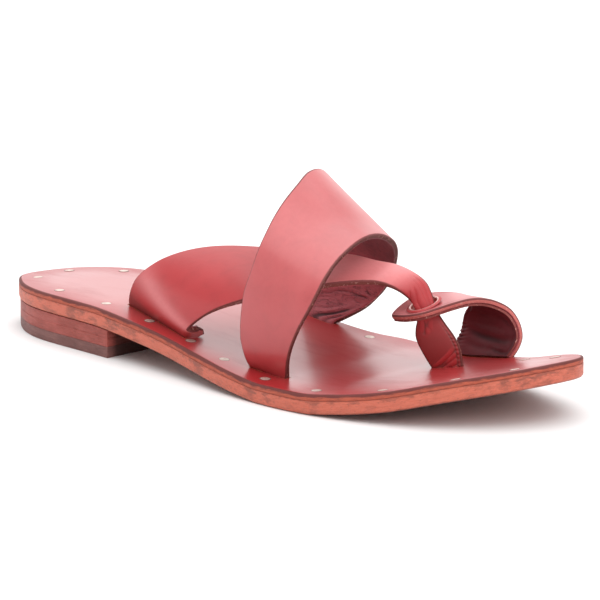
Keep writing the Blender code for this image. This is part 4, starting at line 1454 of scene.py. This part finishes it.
# Square lights: name, place, size in metres, power in watts
LIGHTS = (
    ("overhead", (0.10, 0.05, 1.50), 2.6, 27),
    ("left", (-1.10, -0.46, 0.13), 0.30, 0.9),
    ("behind", (-0.80, 0.90, 0.62), 1.1, 3.6),
    ("front right", (1.10, -0.35, 0.85), 0.9, 5),
)
LIGHT_TARGET = (0.09, 0, 0.02)
WORLD_STRENGTH = 0.70

# Camera at the photograph's viewing angle; its lens is in millimetres
CAMERA_PLACE = (1.1096, -1.0365, 0.3326)
CAMERA_TARGET = (0.1003, 0.0, 0.0258)
CAMERA_LENS = 254.8


class SANDAL_OT_stage(bpy.types.Operator):
    """Makes the floor, the lights and the camera"""

    bl_idname = "sandal.stage"
    bl_label = "Stage"

    def execute(self, context):
        scene = context.scene
        scene.view_settings.view_transform = "Standard"
        deselect()
        bpy.ops.mesh.primitive_grid_add(x_subdivisions=2, y_subdivisions=2, size=30)
        floor = context.object
        floor.name = "floor"
        paint = Finish("floor")
        floor.data.materials.append(paint.set(Base_Color=colours().floor, Roughness=0.9))

        world = bpy.data.worlds.new("studio")
        scene.world = world
        world.use_nodes = True
        background = world.node_tree.nodes["Background"]
        background.inputs["Color"].default_value = (1, 1, 1, 1)
        background.inputs["Strength"].default_value = WORLD_STRENGTH
        for name, place, size, power in LIGHTS:
            self.add_light(name, place, size, power)
        self.add_camera(scene)
        return {"FINISHED"}

    @staticmethod
    def add_light(name, place, size, power):
        lamp = bpy.data.lights.new(name, "AREA")
        lamp.shape = "SQUARE"
        lamp.size = size
        lamp.energy = power
        light = bpy.data.objects.new(name, lamp)
        bpy.context.scene.collection.objects.link(light)
        light.location = place
        towards = Vector(LIGHT_TARGET) - light.location
        light.rotation_euler = towards.to_track_quat("-Z", "Y").to_euler()

    @staticmethod
    def add_camera(scene):
        view = bpy.data.cameras.new("camera")
        view.sensor_width = 36
        view.lens = CAMERA_LENS
        view.clip_start = 0.05
        view.clip_end = 100
        camera = bpy.data.objects.new("camera", view)
        scene.collection.objects.link(camera)
        camera.location = CAMERA_PLACE
        towards = Vector(CAMERA_TARGET) - camera.location
        camera.rotation_euler = towards.to_track_quat("-Z", "Y").to_euler()
        scene.camera = camera


class SANDAL_PT_panel(bpy.types.Panel):
    """Sizes, colours and a button for each piece"""

    bl_label = "Sandal"
    bl_idname = "SANDAL_PT_panel"
    bl_space_type = "VIEW_3D"
    bl_region_type = "UI"
    bl_category = "Sandal"

    def draw(self, context):
        layout = self.layout
        for operator in PIECES:
            layout.operator(operator.bl_idname)
        for group in (context.scene.sandal_sizes, context.scene.sandal_colours):
            box = layout.box()
            for key in type(group).__annotations__:
                box.prop(group, key)


PIECES = (
    SANDAL_OT_sole,
    SANDAL_OT_heel,
    SANDAL_OT_instep_strap,
    SANDAL_OT_cross_strap,
    SANDAL_OT_toe_loop,
    SANDAL_OT_grommet,
    SANDAL_OT_nails,
    SANDAL_OT_stage,
)


def register():
    for kind in (SandalSizes, SandalColours, *PIECES, SANDAL_PT_panel):
        bpy.utils.register_class(kind)
    bpy.types.Scene.sandal_sizes = bpy.props.PointerProperty(type=SandalSizes)
    bpy.types.Scene.sandal_colours = bpy.props.PointerProperty(type=SandalColours)


def unregister():
    del bpy.types.Scene.sandal_colours
    del bpy.types.Scene.sandal_sizes
    for kind in (SANDAL_PT_panel, *reversed(PIECES), SandalColours, SandalSizes):
        bpy.utils.unregister_class(kind)


def main():
    register()
    bpy.ops.sandal.sole()
    bpy.ops.sandal.heel()
    bpy.ops.sandal.instep_strap()
    bpy.ops.sandal.cross_strap()
    bpy.ops.sandal.toe_loop()
    bpy.ops.sandal.grommet()
    bpy.ops.sandal.nails()
    bpy.ops.sandal.stage()


if __name__ == "__main__":
    main()
